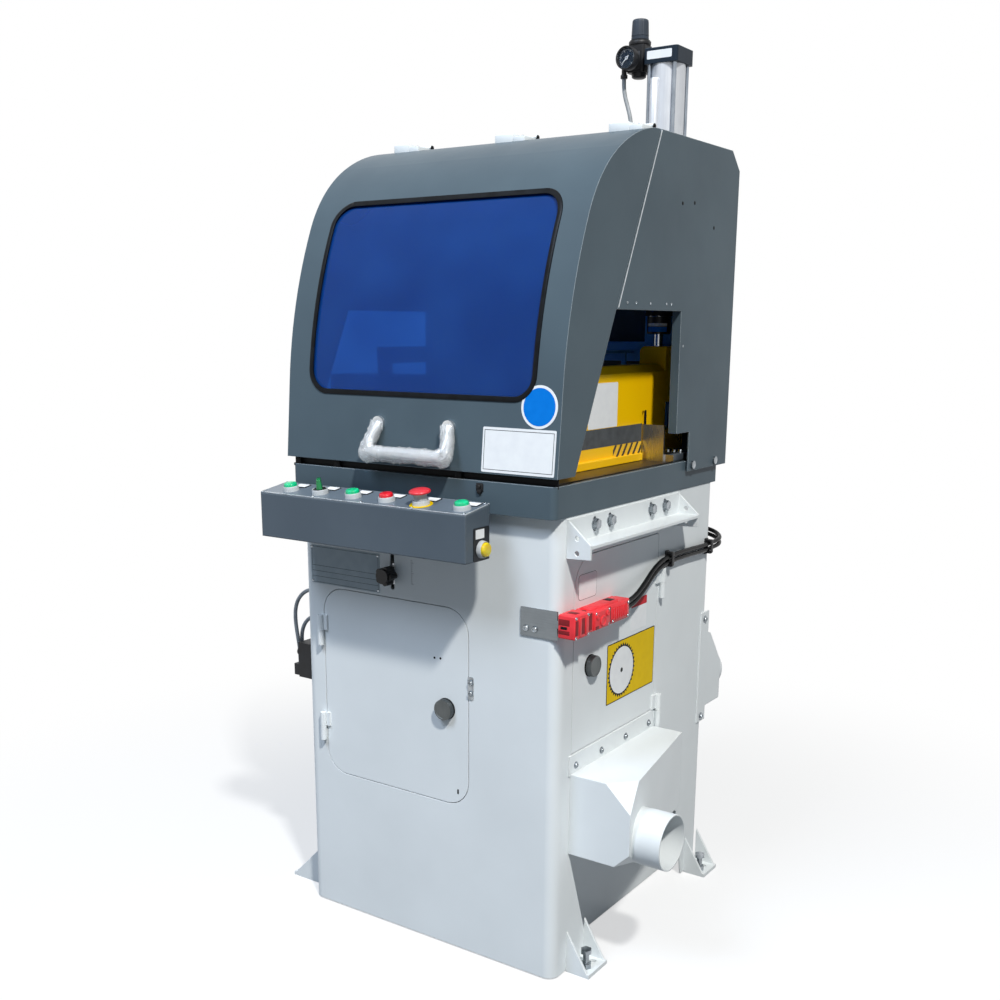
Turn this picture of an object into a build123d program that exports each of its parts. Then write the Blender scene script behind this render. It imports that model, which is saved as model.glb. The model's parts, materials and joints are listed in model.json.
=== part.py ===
from build123d import *
import math
import os

# Hooded up-cut circular saw on a sheet-metal cabinet, in millimetres.
# The origin is on the floor under the middle of the cabinet. +Z is up, the operator stands
# at -Y and cut stock leaves through the hood at +X.

os.makedirs("parts", exist_ok=True)

# Cabinet
CAB_X = 300  # half width
CAB_Y = 310  # half depth
CAB_BOTTOM = 3
CAB_TOP = 873
CAB_CORNER = 22
CAB_RIM = 40  # width of the flange under the tray
SHEET = 3  # sheet-metal thickness
INNER_X = CAB_X - SHEET
INNER_Y = CAB_Y - SHEET
RECESS_X = 250  # panel set back behind the cut-out low on the right
RECESS_TOP = 243
RECESS_OUTLINE = [(-259, 240), (-175, 0), (232, 0), (195, 165), (60, 240)]

# Doors
DOOR_GAP = 1.5
FRONT_DOOR_X = (-247, 107)
FRONT_DOOR_Z = (302, 686)
FRONT_DOOR_R = 50
SIDE_DOOR_Y = (-258, 62)
SIDE_DOOR_Z = (436, 797)
SIDE_DOOR_R = 60
SMALL_R = 8
KNUCKLE_R = 6
HINGE_PIN_R = 3
RUNNING = 0.05  # radial clearance of shafts and pins
HINGE_OUT = 6.5  # hinge axis in front of the wall
FRONT_HINGE = (-253, -CAB_Y - HINGE_OUT)
SIDE_HINGE = (CAB_X + HINGE_OUT, 73)
FRONT_KNUCKLES = [(366, 396, 425), (567, 598, 629)]  # fixed half from, joint, door half to
SIDE_KNUCKLES = [(394, 431, 466), (666, 697, 727)]
FRONT_LATCH = (56, 490)
SIDE_LATCH = (-197, 589.5)
LATCH_R = 19.5
LATCH_H = 12
LATCH_SHANK_R = 9

# Tray and table
TRAY_X = 301
TRAY_Y = (-330, 325)
TRAY_TOP = 929
TRAY_WALL = 8
TRAY_CORNER = 12
TRAY_FLOOR = CAB_TOP + TRAY_WALL
TABLE_X = 285
TABLE_Y = (-300, 255)
TABLE_TOP = 930
TABLE_THICK = 20
SLOT_Y = (-240, 220)
SLOT_HALF = 6

# Hood
HOOD_X = 308
HOOD_TOP = 1531
HOOD_BOTTOM = 943
HOOD_IN = HOOD_X - SHEET
HOOD_LIP = -320  # inner edge of the folded lower lip
HOOD_TOE = (-335, HOOD_BOTTOM)
HOOD_KNEE = (-322, 1090)
HOOD_ARCS = [(-250, 1372), (-150, 1487), (-30, 1530)]
SEAM_LOW = (-277, 941)
SEAM_HIGH = (-5, 1529)
SEAM_HALF = 2.2  # half of the gap, measured along Y
HOOD_BACK = 346
HOOD_BACK_BOTTOM = 909
HOOD_CHAMFER = [(308, HOOD_TOP), (HOOD_BACK, 1496)]
OPENING_BACK = 105
OPENING_TOP = 1220
NOTCH = (163, 988)
HOOD_HINGES = [(-262, -202), (-17, 49), (228, 294)]
HOOD_AXIS = (-5, HOOD_TOP + 5.5)
HOOD_KNUCKLE_R = 5
HOOD_PIN_R = 2.5
WINDOW_X = 255
WINDOW_Z = (1067, 1416)
WINDOW_R = 45
PANE_EDGE = 13  # overlap of the pane behind the sheet
PANE_THICK = 4
HANDLE_R = 10
HANDLE_FOOT = (80, -327, 1017)
HANDLE_BAR = (91, -356, 968)

# Control box
BOX_X = (-293, 185)
BOX_Y = (-425, -355)
BOX_BOTTOM = 800
LID_FRONT = 885
LID_BACK = 896
BOX_SHEET = 2
BUTTON_Y = -400
PUSH_X = {"button_green_left": -238, "button_green_mid": -84, "button_red": -5.5, "button_green_right": 160}
SELECTOR_X = -164
ESTOP_X = 72
END_BUTTON = (BOX_X[1], -380, 820)
BEZEL_R = 14.75
BEZEL_H = 9
CAP_R = 12.5
STEM_R = 8

# Saw unit
BLADE_X = 190
BLADE_R = 228
BLADE_HALF = 1.6
TEETH = 72
PIVOT = (245, 739)
ARBOR = (-20, 660)
MOTOR = (160, 560)
MOTOR_R = 90
MOTOR_X = (-250, 0)
ARM_HALF = 30
PAD_DEPTH = 36
PIVOT_R = 20
BELT_X = (25, 55)
MOTOR_PULLEY_R = 50
ARBOR_PULLEY_R = 40
LIFT = (105, 60)  # lift cylinder's axis in X and Y
LIFT_Z = (450, 612)
PUSHER_Z = 629.8
PUSHER_R = 15

# Clamp unit
GUARD_X = (158, 222)
GUARD_Y = (-235, 225)
GUARD_BOTTOM = 931
GUARD_TOP = 1117
GUARD_WALL = 8
LUG_TOP = 1152
LUG_BOTTOM = 1040
LUG_LEFT = 162
LUG_Y = (220, 262)
LUG_CORNER = 12
CLAMP = (196, 235)  # clamp cylinder's axis in X and Y
CLAMP_CAP = 72
CLAMP_ROD_R = 10
BRIDGE_Z = (1500, 1515)
LOWER_CAP_Z = (1515, 1543)
UPPER_CAP_Z = (1687, 1715)
BORE_R = 31.5
FENCE_Y = (126.5, 132.5)
FENCE_FOOT = (197, 943)  # back and top of the plate under it
FENCE_TOP = 1001

# Chutes
CHUTE_WALL = 2.5
CHUTE_PLAN = [(CAB_X, -262), (426.3, -262), (366, 65), (CAB_X, 65)]
CHUTE_Z = (242, 398)
CHUTE_FACETS = [
    [(375, -262, 398), (418, -217, 398), (426, -262, 349)],
    [(396, -262, 242), (418, -217, 242), (429, -262, 274)],
]
CHUTE_SPIGOT = (-200.5, 288)
CHUTE_MOUTH = 480
SPIGOT_R = 52
SPIGOT_ROOT = 396  # inside the chute's slanted face
SPIGOT_FROM = 430  # where the length that takes a hose begins
ROOT_STEP = 0.9  # the root of each spigot is this much smaller in radius
REAR_PROFILE = [(CAB_Y, 376), (385, 376), (385, 463), (325, 540), (CAB_Y, 545)]
REAR_X = (150, 303)
REAR_SPIGOT = (235, 425)
REAR_SPIGOT_R = 50
REAR_MOUTH = 440
REAR_ROOT = 380
REAR_FROM = 390

# Feet
FOOT_Y = [(-262, -192), (247, 310)]
FOOT_RIGHT = 350
FOOT_LEFT = -405
FOOT_PLATE = 8
GUSSET = 5
ANCHOR_X = 330
ANCHOR_Y = [-210, 288]
ANCHOR_R = 6
LEVEL_Y = [-238, 264]


def save(builder, name):
    """Label a finished piece and write its file."""
    builder.part.label = name
    export_step(builder.part, f"parts/{name}.step")


def block(x, y, z, mode=Mode.ADD):
    """A box between a low and a high value along each axis."""
    with Locations(((x[0] + x[1]) / 2, (y[0] + y[1]) / 2, (z[0] + z[1]) / 2)):
        Box(x[1] - x[0], y[1] - y[0], z[1] - z[0], mode=mode)


def bar(start, direction, radius, length, mode=Mode.ADD):
    """A round bar from a start point along a direction."""
    with Locations(Plane(start, z_dir=direction)):
        Cylinder(radius, length, align=(Align.CENTER, Align.CENTER, Align.MIN), mode=mode)


def plate(points, plane, thickness, mode=Mode.ADD):
    """A flat polygon on a plane, thickened along the plane's normal."""
    with BuildSketch(plane) as outline:
        with BuildLine():
            Polyline(*points, close=True)
        make_face()
    extrude(outline.sketch, amount=thickness, mode=mode)


def hexagon(start, direction, across_flats, height):
    """A hexagonal head or nut from a start point along a direction."""
    with BuildSketch(Plane(start, z_dir=direction)) as outline:
        RegularPolygon(across_flats / 2, 6, major_radius=False)
    extrude(outline.sketch, amount=height)


def strut(start, end, half, reach=(0, 1)):
    """Corners of a straight strut between two points in the YZ plane, over a share of its length."""
    run = Vector(end[0] - start[0], end[1] - start[1])
    side = run.normalized().rotate(Axis.Z, 90) * half
    first = Vector(*start) + run * reach[0]
    last = Vector(*start) + run * reach[1]
    corners = (first + side, last + side, last - side, first - side)
    return [(corner.X, corner.Y) for corner in corners]


def tube(route, radius):
    """A hose or cable along a route, with each bend as large as its runs allow."""
    points = [Vector(*point) for point in route]
    runs = [after - before for before, after in zip(points, points[1:])]
    bends = []
    for before, after in zip(runs, runs[1:]):
        half_turn = math.radians(before.get_angle(after)) / 2
        bends.append(0.45 * min(before.length, after.length) / math.tan(half_turn))
    with BuildLine() as path:
        FilletPolyline(*points, radius=bends)
    with BuildSketch(Plane(points[0], z_dir=runs[0])) as section:
        Circle(radius)
    solid = sweep(section.sketch, path=path.line)
    length = path.wire().length
    print("bends", [round(bend) for bend in bends], "length", round(length, 1),
          "volume share", round(solid.volume / (math.pi * radius**2 * length), 4))


# Cabinet shell
def side_door_face(grow, x):
    """Side door outline on the right wall, grown all round, with its upper front corner rounded."""
    width = SIDE_DOOR_Y[1] - SIDE_DOOR_Y[0] + 2 * grow
    height = SIDE_DOOR_Z[1] - SIDE_DOOR_Z[0] + 2 * grow
    with BuildSketch(Plane.YZ.offset(x)) as outline:
        with Locations((sum(SIDE_DOOR_Y) / 2, sum(SIDE_DOOR_Z) / 2)):
            Rectangle(width, height)
        corners = outline.vertices().sort_by(Axis.Y)
        top = corners[2:].sort_by(Axis.X)
        fillet(top[0], SIDE_DOOR_R + grow)
        square = outline.vertices().filter_by(lambda corner: corner.X > 0)
        fillet(square, SMALL_R + grow)
    return outline.sketch


def front_door_face(grow, y):
    """Front door outline on the front wall, grown all round."""
    width = FRONT_DOOR_X[1] - FRONT_DOOR_X[0] + 2 * grow
    height = FRONT_DOOR_Z[1] - FRONT_DOOR_Z[0] + 2 * grow
    with BuildSketch(Plane.XZ.offset(-y)) as outline:
        with Locations((sum(FRONT_DOOR_X) / 2, sum(FRONT_DOOR_Z) / 2)):
            RectangleRounded(width, height, FRONT_DOOR_R + grow)
    return outline.sketch


SLIDER_X = -70
SLIDER_Z = 733
SLIDER_SLOT_Z = (703, 773)
SLIDER_SLOT_W = 10
BRACKET_BOLT_Y = [-202, -147, 13, 72]
BRACKET_BOLT_Z = 852
M10_R = 5
GLAND = (198, 768)
GLAND_LENGTH = 4

with BuildPart() as cabinet_shell:
    with BuildSketch(Plane.XY.offset(CAB_BOTTOM)):
        RectangleRounded(2 * CAB_X, 2 * CAB_Y, CAB_CORNER)
        RectangleRounded(2 * INNER_X, 2 * INNER_Y, CAB_CORNER - SHEET, mode=Mode.SUBTRACT)
    extrude(amount=CAB_TOP - CAB_BOTTOM)
    with BuildSketch(Plane.XY.offset(CAB_TOP - SHEET)):
        RectangleRounded(2 * CAB_X, 2 * CAB_Y, CAB_CORNER)
        Rectangle(2 * (CAB_X - CAB_RIM), 2 * (CAB_Y - CAB_RIM), mode=Mode.SUBTRACT)
    extrude(amount=SHEET)
    extrude(front_door_face(DOOR_GAP, -INNER_Y + SHEET), amount=3 * SHEET, mode=Mode.SUBTRACT)
    extrude(side_door_face(DOOR_GAP, INNER_X - SHEET), amount=3 * SHEET, mode=Mode.SUBTRACT)
    # Cut-out low on the right, and the panel and ledge set back behind it
    plate(RECESS_OUTLINE, Plane.YZ.offset(INNER_X - SHEET), 3 * SHEET, Mode.SUBTRACT)
    block((RECESS_X - SHEET, RECESS_X), (-INNER_Y, INNER_Y), (CAB_BOTTOM, RECESS_TOP))
    ledge_half = INNER_Y - CAB_CORNER
    block((RECESS_X, INNER_X), (-ledge_half, ledge_half), (RECESS_TOP - SHEET, RECESS_TOP))
    # Ways into the two chutes
    block((INNER_X - SHEET, CAB_X + SHEET), (-245, 45), (255, 385), Mode.SUBTRACT)
    block((165, 290), (INNER_Y - SHEET, CAB_Y + SHEET), (390, 500), Mode.SUBTRACT)
    # Slot of the adjusting knob, and the bracket's bolt holes
    with BuildSketch(Plane.XZ.offset(INNER_Y - SHEET)):
        with Locations((SLIDER_X, sum(SLIDER_SLOT_Z) / 2)):
            SlotOverall(SLIDER_SLOT_Z[1] - SLIDER_SLOT_Z[0], SLIDER_SLOT_W, rotation=90)
    extrude(amount=3 * SHEET, mode=Mode.SUBTRACT)
    for y in BRACKET_BOLT_Y:
        bar((INNER_X - SHEET, y, BRACKET_BOLT_Z), (1, 0, 0), M10_R + 0.2, 3 * SHEET, Mode.SUBTRACT)
    # Cable entry bosses on the back wall
    for z in (GLAND[1], GLAND[1] - 11):
        bar((GLAND[0], CAB_Y, z), (0, 1, 0), 5.3, GLAND_LENGTH)
save(cabinet_shell, "cabinet_shell")

# Doors: flush panels with stiffening ribs and the upper halves of lift-off hinges
RIB = 10
with BuildPart() as front_door:
    extrude(front_door_face(0, -INNER_Y), amount=SHEET)
    for z in (330, 655):
        block((-230, 90), (-INNER_Y, -INNER_Y + RIB), (z, z + SHEET))
    for _, joint, top in FRONT_KNUCKLES:
        span = (joint + 0.2, top)
        bar((*FRONT_HINGE, span[0]), (0, 0, 1), KNUCKLE_R, span[1] - span[0])
        block((FRONT_HINGE[0], FRONT_DOOR_X[0] + 9), (-CAB_Y - 4, -CAB_Y - 0.4), span)
        block((FRONT_DOOR_X[0] + 0.5, FRONT_DOOR_X[0] + 9), (-CAB_Y - 0.4, -CAB_Y), span)
    for _, joint, top in FRONT_KNUCKLES:
        bar((*FRONT_HINGE, joint), (0, 0, 1), HINGE_PIN_R + RUNNING, top - joint, Mode.SUBTRACT)
    bar((FRONT_LATCH[0], -CAB_Y - 1, FRONT_LATCH[1]), (0, 1, 0), LATCH_SHANK_R + RUNNING, 9, Mode.SUBTRACT)
save(front_door, "front_door")

with BuildPart() as side_door:
    extrude(side_door_face(0, INNER_X), amount=SHEET)
    for z in (470, 765):
        block((INNER_X - RIB, INNER_X), (-180, 45), (z, z + SHEET))
    for _, joint, top in SIDE_KNUCKLES:
        span = (joint + 0.2, top)
        bar((*SIDE_HINGE, span[0]), (0, 0, 1), KNUCKLE_R, span[1] - span[0])
        on_door = (max(span[0], SIDE_DOOR_Z[0]), span[1])
        block((CAB_X + 0.4, CAB_X + 4), (SIDE_DOOR_Y[1] - 9, SIDE_HINGE[1]), on_door)
        block((CAB_X, CAB_X + 0.4), (SIDE_DOOR_Y[1] - 9, SIDE_DOOR_Y[1] - 0.5), on_door)
    for _, joint, top in SIDE_KNUCKLES:
        bar((*SIDE_HINGE, joint), (0, 0, 1), HINGE_PIN_R + RUNNING, top - joint, Mode.SUBTRACT)
    bar((CAB_X + 1, *SIDE_LATCH), (-1, 0, 0), LATCH_SHANK_R + RUNNING, 9, Mode.SUBTRACT)
save(side_door, "side_door")

# Quarter-turn latches, with the tongue upright when open
TONGUE_GAP = 3
with BuildPart() as front_latch:
    face_y = -CAB_Y - 0.3
    bar((FRONT_LATCH[0], face_y, FRONT_LATCH[1]), (0, -1, 0), LATCH_R, LATCH_H)
    bar((FRONT_LATCH[0], face_y, FRONT_LATCH[1]), (0, 1, 0), LATCH_SHANK_R, SHEET + 2 * TONGUE_GAP)
    block((FRONT_LATCH[0] - 6, FRONT_LATCH[0] + 6), (-INNER_Y + TONGUE_GAP, -INNER_Y + 2 * TONGUE_GAP),
          (FRONT_LATCH[1] - 6, FRONT_LATCH[1] + 62))
save(front_latch, "front_latch")

with BuildPart() as side_latch:
    bar((CAB_X + 0.3, *SIDE_LATCH), (1, 0, 0), LATCH_R, LATCH_H)
    bar((CAB_X + 0.3, *SIDE_LATCH), (-1, 0, 0), LATCH_SHANK_R, SHEET + 2 * TONGUE_GAP)
    block((INNER_X - 2 * TONGUE_GAP, INNER_X - TONGUE_GAP), (SIDE_LATCH[0] - 6, SIDE_LATCH[0] + 6),
          (SIDE_LATCH[1] - 6, SIDE_LATCH[1] + 75))
save(side_latch, "side_latch")

# Tray, table and fence
HOOD_BOLT_Y = [182, 287]
HOOD_BOLT_Z = 921
M8_R = 4
with BuildPart() as bench_tray:
    middle_y = sum(TRAY_Y) / 2
    depth = TRAY_Y[1] - TRAY_Y[0]
    with BuildSketch(Plane.XY.offset(CAB_TOP)):
        with Locations((0, middle_y)):
            RectangleRounded(2 * TRAY_X, depth, TRAY_CORNER)
    extrude(amount=TRAY_TOP - CAB_TOP)
    with BuildSketch(Plane.XY.offset(TRAY_FLOOR)):
        with Locations((0, middle_y)):
            RectangleRounded(2 * (TRAY_X - TRAY_WALL), depth - 2 * TRAY_WALL, TRAY_CORNER - TRAY_WALL)
    extrude(amount=TRAY_TOP - TRAY_FLOOR, mode=Mode.SUBTRACT)
    block((130, 255), (-270, 240), (CAB_TOP, TRAY_FLOOR), Mode.SUBTRACT)
    block((139, 153), (TRAY_Y[0], TRAY_Y[0] + 5), (912, 919), Mode.SUBTRACT)
    for side in (-1, 1):
        for y in HOOD_BOLT_Y:
            bar((side * TRAY_X, y, HOOD_BOLT_Z), (side, 0, 0), 2 * M8_R, HOOD_IN - TRAY_X)
            bar((side * (TRAY_X - TRAY_WALL), y, HOOD_BOLT_Z), (side, 0, 0), M8_R + 0.1, 15, Mode.SUBTRACT)
save(bench_tray, "bench_tray")

with BuildPart() as saw_table:
    block((-TABLE_X, TABLE_X), TABLE_Y, (TABLE_TOP - TABLE_THICK, TABLE_TOP))
    for x in (-TABLE_X, -90, 95, TABLE_X - 20):
        block((x, x + 20), TABLE_Y, (TRAY_FLOOR, TABLE_TOP - TABLE_THICK))
    block((BLADE_X - SLOT_HALF, BLADE_X + SLOT_HALF), SLOT_Y, (TRAY_FLOOR, TABLE_TOP), Mode.SUBTRACT)
save(saw_table, "saw_table")

with BuildPart() as fence:
    for plate_span, foot_span in (((200, 270), (230, 290)), ((-285, 180), (-285, 150))):
        block(plate_span, FENCE_Y, (TABLE_TOP, FENCE_TOP))
        block(foot_span, (FENCE_Y[1], FENCE_FOOT[0]), (TABLE_TOP, FENCE_FOOT[1]))
save(fence, "fence")


# Hood
def seam(z, gap):
    """Y of the slanted seam between the two hoods at a height, moved along Y by a gap."""
    slope = (SEAM_HIGH[0] - SEAM_LOW[0]) / (SEAM_HIGH[1] - SEAM_LOW[1])
    return SEAM_LOW[0] + (z - SEAM_LOW[1]) * slope + gap


def front_line():
    """Front of the hood from toe to top seam: a straight foot, then tangent arcs."""
    toe = Line(HOOD_TOE, HOOD_KNEE)
    curve = toe
    for end in HOOD_ARCS:
        curve = TangentArc(curve @ 1, end, tangent=curve % 1)
    Line(curve @ 1, (seam(HOOD_TOP, -SEAM_HALF), HOOD_TOP))


def front_sheet(thickness):
    """Section of the front sheet, with its folded lower lip."""
    with BuildSketch(Plane.YZ) as section:
        with BuildLine():
            Line((HOOD_LIP, HOOD_BOTTOM), HOOD_TOE)
            front_line()
            offset(amount=thickness, side=Side.RIGHT, kind=Kind.INTERSECTION)
        make_face()
    return section.sketch


HINGE_GAP = 0.4
LEAF = 3
with BuildPart() as front_hood:
    extrude(front_sheet(SHEET), amount=HOOD_IN, both=True)
    for x in (-HOOD_X, HOOD_IN):
        with BuildSketch(Plane.YZ.offset(x)):
            with BuildLine():
                front_line()
                Polyline((seam(HOOD_TOP, -SEAM_HALF), HOOD_TOP), (seam(HOOD_BOTTOM, -SEAM_HALF), HOOD_BOTTOM),
                         HOOD_TOE)
            make_face()
        extrude(amount=SHEET)
    with BuildSketch(Plane.XZ.offset(100)):
        with Locations((0, sum(WINDOW_Z) / 2)):
            RectangleRounded(2 * WINDOW_X, WINDOW_Z[1] - WINDOW_Z[0], WINDOW_R)
    extrude(amount=260, mode=Mode.SUBTRACT)
    for low, high in HOOD_HINGES:
        third = (high - low) / 3
        leaf_back = HOOD_AXIS[0] - HOOD_KNUCKLE_R - 0.5
        leaf = [(-50, 1525), (-50, HOOD_TOP), (leaf_back - 2, HOOD_TOP + LEAF), (leaf_back, HOOD_TOP + LEAF),
                (leaf_back, HOOD_TOP - 2)]
        plate(leaf, Plane.YZ.offset(low), high - low)
        for start in (low, high - third + HINGE_GAP):
            bar((start, *HOOD_AXIS), (1, 0, 0), HOOD_KNUCKLE_R, third - HINGE_GAP)
            block((start, start + third - HINGE_GAP), (leaf_back - 2, HOOD_AXIS[0]),
                  (HOOD_TOP + 1, HOOD_AXIS[1]))
    for low, high in HOOD_HINGES:
        bar((low, *HOOD_AXIS), (1, 0, 0), HOOD_PIN_R + RUNNING, high - low, Mode.SUBTRACT)
save(front_hood, "front_hood")

with BuildPart() as window_pane:
    pane = front_sheet(SHEET + PANE_THICK) - front_sheet(SHEET + 0.1)
    extrude(pane, amount=WINDOW_X + PANE_EDGE, both=True)
    block((-WINDOW_X - PANE_EDGE, WINDOW_X + PANE_EDGE), (-400, 0),
          (WINDOW_Z[0] - PANE_EDGE, WINDOW_Z[1] + PANE_EDGE), Mode.INTERSECT)
save(window_pane, "window_pane")

with BuildPart() as hood_handle:
    foot_x, foot_y, foot_z = HANDLE_FOOT
    bar_x, bar_y, bar_z = HANDLE_BAR
    with BuildLine() as handle_line:
        FilletPolyline((-foot_x, foot_y, foot_z), (-bar_x, bar_y, bar_z), (bar_x, bar_y, bar_z),
                       (foot_x, foot_y, foot_z), radius=22)
    with BuildSketch(Plane(handle_line.line @ 0, z_dir=handle_line.line % 0)):
        Circle(HANDLE_R)
    sweep(path=handle_line.line)
    # Feet trimmed to the slope of the hood's front
    for x in (-foot_x, foot_x):
        bar((x, foot_y - 6, foot_z), (0, 1, 0.088), HANDLE_R + 3, 12)
    hood_front = Plane((0, HOOD_TOE[0], HOOD_TOE[1]), x_dir=(1, 0, 0),
                       z_dir=(0, -(HOOD_KNEE[1] - HOOD_TOE[1]), HOOD_KNEE[0] - HOOD_TOE[0]))
    split(bisect_by=hood_front, keep=Keep.TOP)
save(hood_handle, "hood_handle")

GROMMET = (145, 186)
GROMMET_TOP = HOOD_TOP + 2
with BuildPart() as rear_hood:
    with BuildSketch(Plane.YZ):
        with BuildLine():
            Polyline((seam(HOOD_TOP, SEAM_HALF), HOOD_TOP), *HOOD_CHAMFER, (HOOD_BACK, HOOD_BACK_BOTTOM))
            offset(amount=SHEET, side=Side.RIGHT, kind=Kind.INTERSECTION)
        make_face()
    extrude(amount=HOOD_IN, both=True)
    side_outline = [(seam(OPENING_TOP, SEAM_HALF), OPENING_TOP), (seam(HOOD_TOP, SEAM_HALF), HOOD_TOP),
                    *HOOD_CHAMFER, (HOOD_BACK, HOOD_BACK_BOTTOM), (NOTCH[0], HOOD_BACK_BOTTOM), NOTCH,
                    (OPENING_BACK, NOTCH[1]), (OPENING_BACK, OPENING_TOP)]
    for x in (-HOOD_X, HOOD_IN):
        plate(side_outline, Plane.YZ.offset(x), SHEET)
    for side in ((-HOOD_IN, -290), (290, HOOD_IN)):
        block(side, (OPENING_BACK, OPENING_BACK + SHEET), (NOTCH[1], OPENING_TOP))
        lintel = (seam(OPENING_TOP, SEAM_HALF) + SHEET, OPENING_BACK + SHEET)
        block(side, lintel, (OPENING_TOP, OPENING_TOP + SHEET))
    bar((*GROMMET, HOOD_TOP), (0, 0, 1), 10, GROMMET_TOP - HOOD_TOP)
    gap = CLAMP_CAP / 2 + 3
    block((CLAMP[0] - gap, CLAMP[0] + gap), (CLAMP[1] - gap, CLAMP[1] + gap),
          (HOOD_TOP - 2 * SHEET, HOOD_TOP + SHEET), Mode.SUBTRACT)
    for x in (-HOOD_X, HOOD_IN):
        for y in HOOD_BOLT_Y:
            bar((x, y, HOOD_BOLT_Z), (1, 0, 0), M8_R + 0.2, SHEET, Mode.SUBTRACT)
save(rear_hood, "rear_hood")

# Fixed halves of every hinge, with their pins
with BuildPart() as hinge_bases:
    for low, high in HOOD_HINGES:
        third = (high - low) / 3
        block((low, high), (0.5, 35), (HOOD_TOP, HOOD_TOP + LEAF))
        bar((low + third + HINGE_GAP, *HOOD_AXIS), (1, 0, 0), HOOD_KNUCKLE_R, third - 2 * HINGE_GAP)
        middle = (low + third + HINGE_GAP, high - third - HINGE_GAP)
        block(middle, (HOOD_AXIS[0], 3), (HOOD_TOP + 0.5, HOOD_AXIS[1]))
        bar((low, *HOOD_AXIS), (1, 0, 0), HOOD_PIN_R, high - low)
    for bottom, joint, top in FRONT_KNUCKLES:
        span = (bottom, joint - 0.2)
        bar((*FRONT_HINGE, bottom), (0, 0, 1), KNUCKLE_R, span[1] - bottom)
        block((FRONT_HINGE[0] - 5, FRONT_HINGE[0] + 3), (FRONT_HINGE[1], -CAB_Y), span)
        bar((*FRONT_HINGE, bottom), (0, 0, 1), HINGE_PIN_R, top - bottom - 1)
    for bottom, joint, top in SIDE_KNUCKLES:
        span = (bottom, joint - 0.2)
        bar((*SIDE_HINGE, bottom), (0, 0, 1), KNUCKLE_R, span[1] - bottom)
        block((CAB_X, SIDE_HINGE[0]), (SIDE_HINGE[1] - 3, SIDE_HINGE[1] + 5), span)
        bar((*SIDE_HINGE, bottom), (0, 0, 1), HINGE_PIN_R, top - bottom - 1)
save(hinge_bases, "hinge_bases")

# Control box and its controls
lid_slope = Vector(0, BOX_Y[1] - BOX_Y[0], LID_BACK - LID_FRONT)
lid_up = lid_slope.rotate(Axis.X, 90).normalized()
ARM_SPANS = [(-200, -160), (60, 100)]


def on_lid(x):
    """Plane on the lid's top at a control, facing away from the box."""
    share = (BUTTON_Y - BOX_Y[0]) / (BOX_Y[1] - BOX_Y[0])
    return Plane((x, BUTTON_Y, LID_FRONT + share * (LID_BACK - LID_FRONT)), x_dir=(1, 0, 0), z_dir=lid_up)


control_planes = [on_lid(x) for x in [*PUSH_X.values(), SELECTOR_X, ESTOP_X]]
end_plane = Plane(END_BUTTON, x_dir=(0, 1, 0), z_dir=(1, 0, 0))
control_planes.append(end_plane)

with BuildPart() as control_box:
    outline = [(BOX_Y[0], BOX_BOTTOM), (BOX_Y[1], BOX_BOTTOM), (BOX_Y[1], LID_BACK - BOX_SHEET),
               (BOX_Y[0], LID_FRONT - BOX_SHEET)]
    plate(outline, Plane.YZ.offset(BOX_X[0]), BOX_X[1] - BOX_X[0])
    block((BOX_X[0] + BOX_SHEET, BOX_X[1] - BOX_SHEET), (BOX_Y[0] + BOX_SHEET, BOX_Y[1] - BOX_SHEET),
          (BOX_BOTTOM + BOX_SHEET, LID_BACK), Mode.SUBTRACT)
    for span in ARM_SPANS:
        block(span, (BOX_Y[1], -CAB_Y), (812, 852))
    with Locations(end_plane):
        Cylinder(11.2, 4 * BOX_SHEET, mode=Mode.SUBTRACT)
save(control_box, "control_box")

with BuildPart() as control_lid:
    lid_section = [(BOX_Y[0], LID_FRONT), (BOX_Y[1], LID_BACK), (BOX_Y[1], LID_BACK - BOX_SHEET),
                   (BOX_Y[0], LID_FRONT - BOX_SHEET)]
    plate(lid_section, Plane.YZ.offset(BOX_X[0]), BOX_X[1] - BOX_X[0])
    with Locations(*control_planes[:-1]):
        Cylinder(11.2, 8 * BOX_SHEET, mode=Mode.SUBTRACT)
save(control_lid, "control_lid")

above = (Align.CENTER, Align.CENTER, Align.MIN)
below = (Align.CENTER, Align.CENTER, Align.MAX)
with BuildPart() as button_bezels:
    with Locations(*control_planes):
        Cylinder(BEZEL_R, BEZEL_H, align=above)
        Cylinder(11, 28, align=below)
    with Locations(*[plane.offset(-BOX_SHEET - 0.3) for plane in control_planes]):
        Cylinder(13.5, 6, align=below)
    with Locations(*control_planes):
        Cylinder(STEM_R + 2 * RUNNING, 70, mode=Mode.SUBTRACT)
    with Locations(*[plane.offset(2) for plane in control_planes]):
        Cylinder(CAP_R + 0.4, BEZEL_H, align=above, mode=Mode.SUBTRACT)
save(button_bezels, "button_bezels")

CAP_LOW = 6
CAP_HIGH = 15
STEM_DEPTH = 20


def push_button(plane, name):
    """A round cap on a stem, standing a little above its bezel."""
    with BuildPart() as button:
        with Locations(plane.offset(CAP_LOW)):
            Cylinder(CAP_R, CAP_HIGH - CAP_LOW, align=above)
            Cylinder(STEM_R, CAP_LOW + STEM_DEPTH, align=below)
        rims = button.edges().group_by(lambda edge: edge.center().dot(plane.z_dir))
        fillet(rims[-1], 1.5)
    save(button, name)


for name, x in PUSH_X.items():
    push_button(on_lid(x), name)
push_button(end_plane, "button_yellow")

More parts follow.
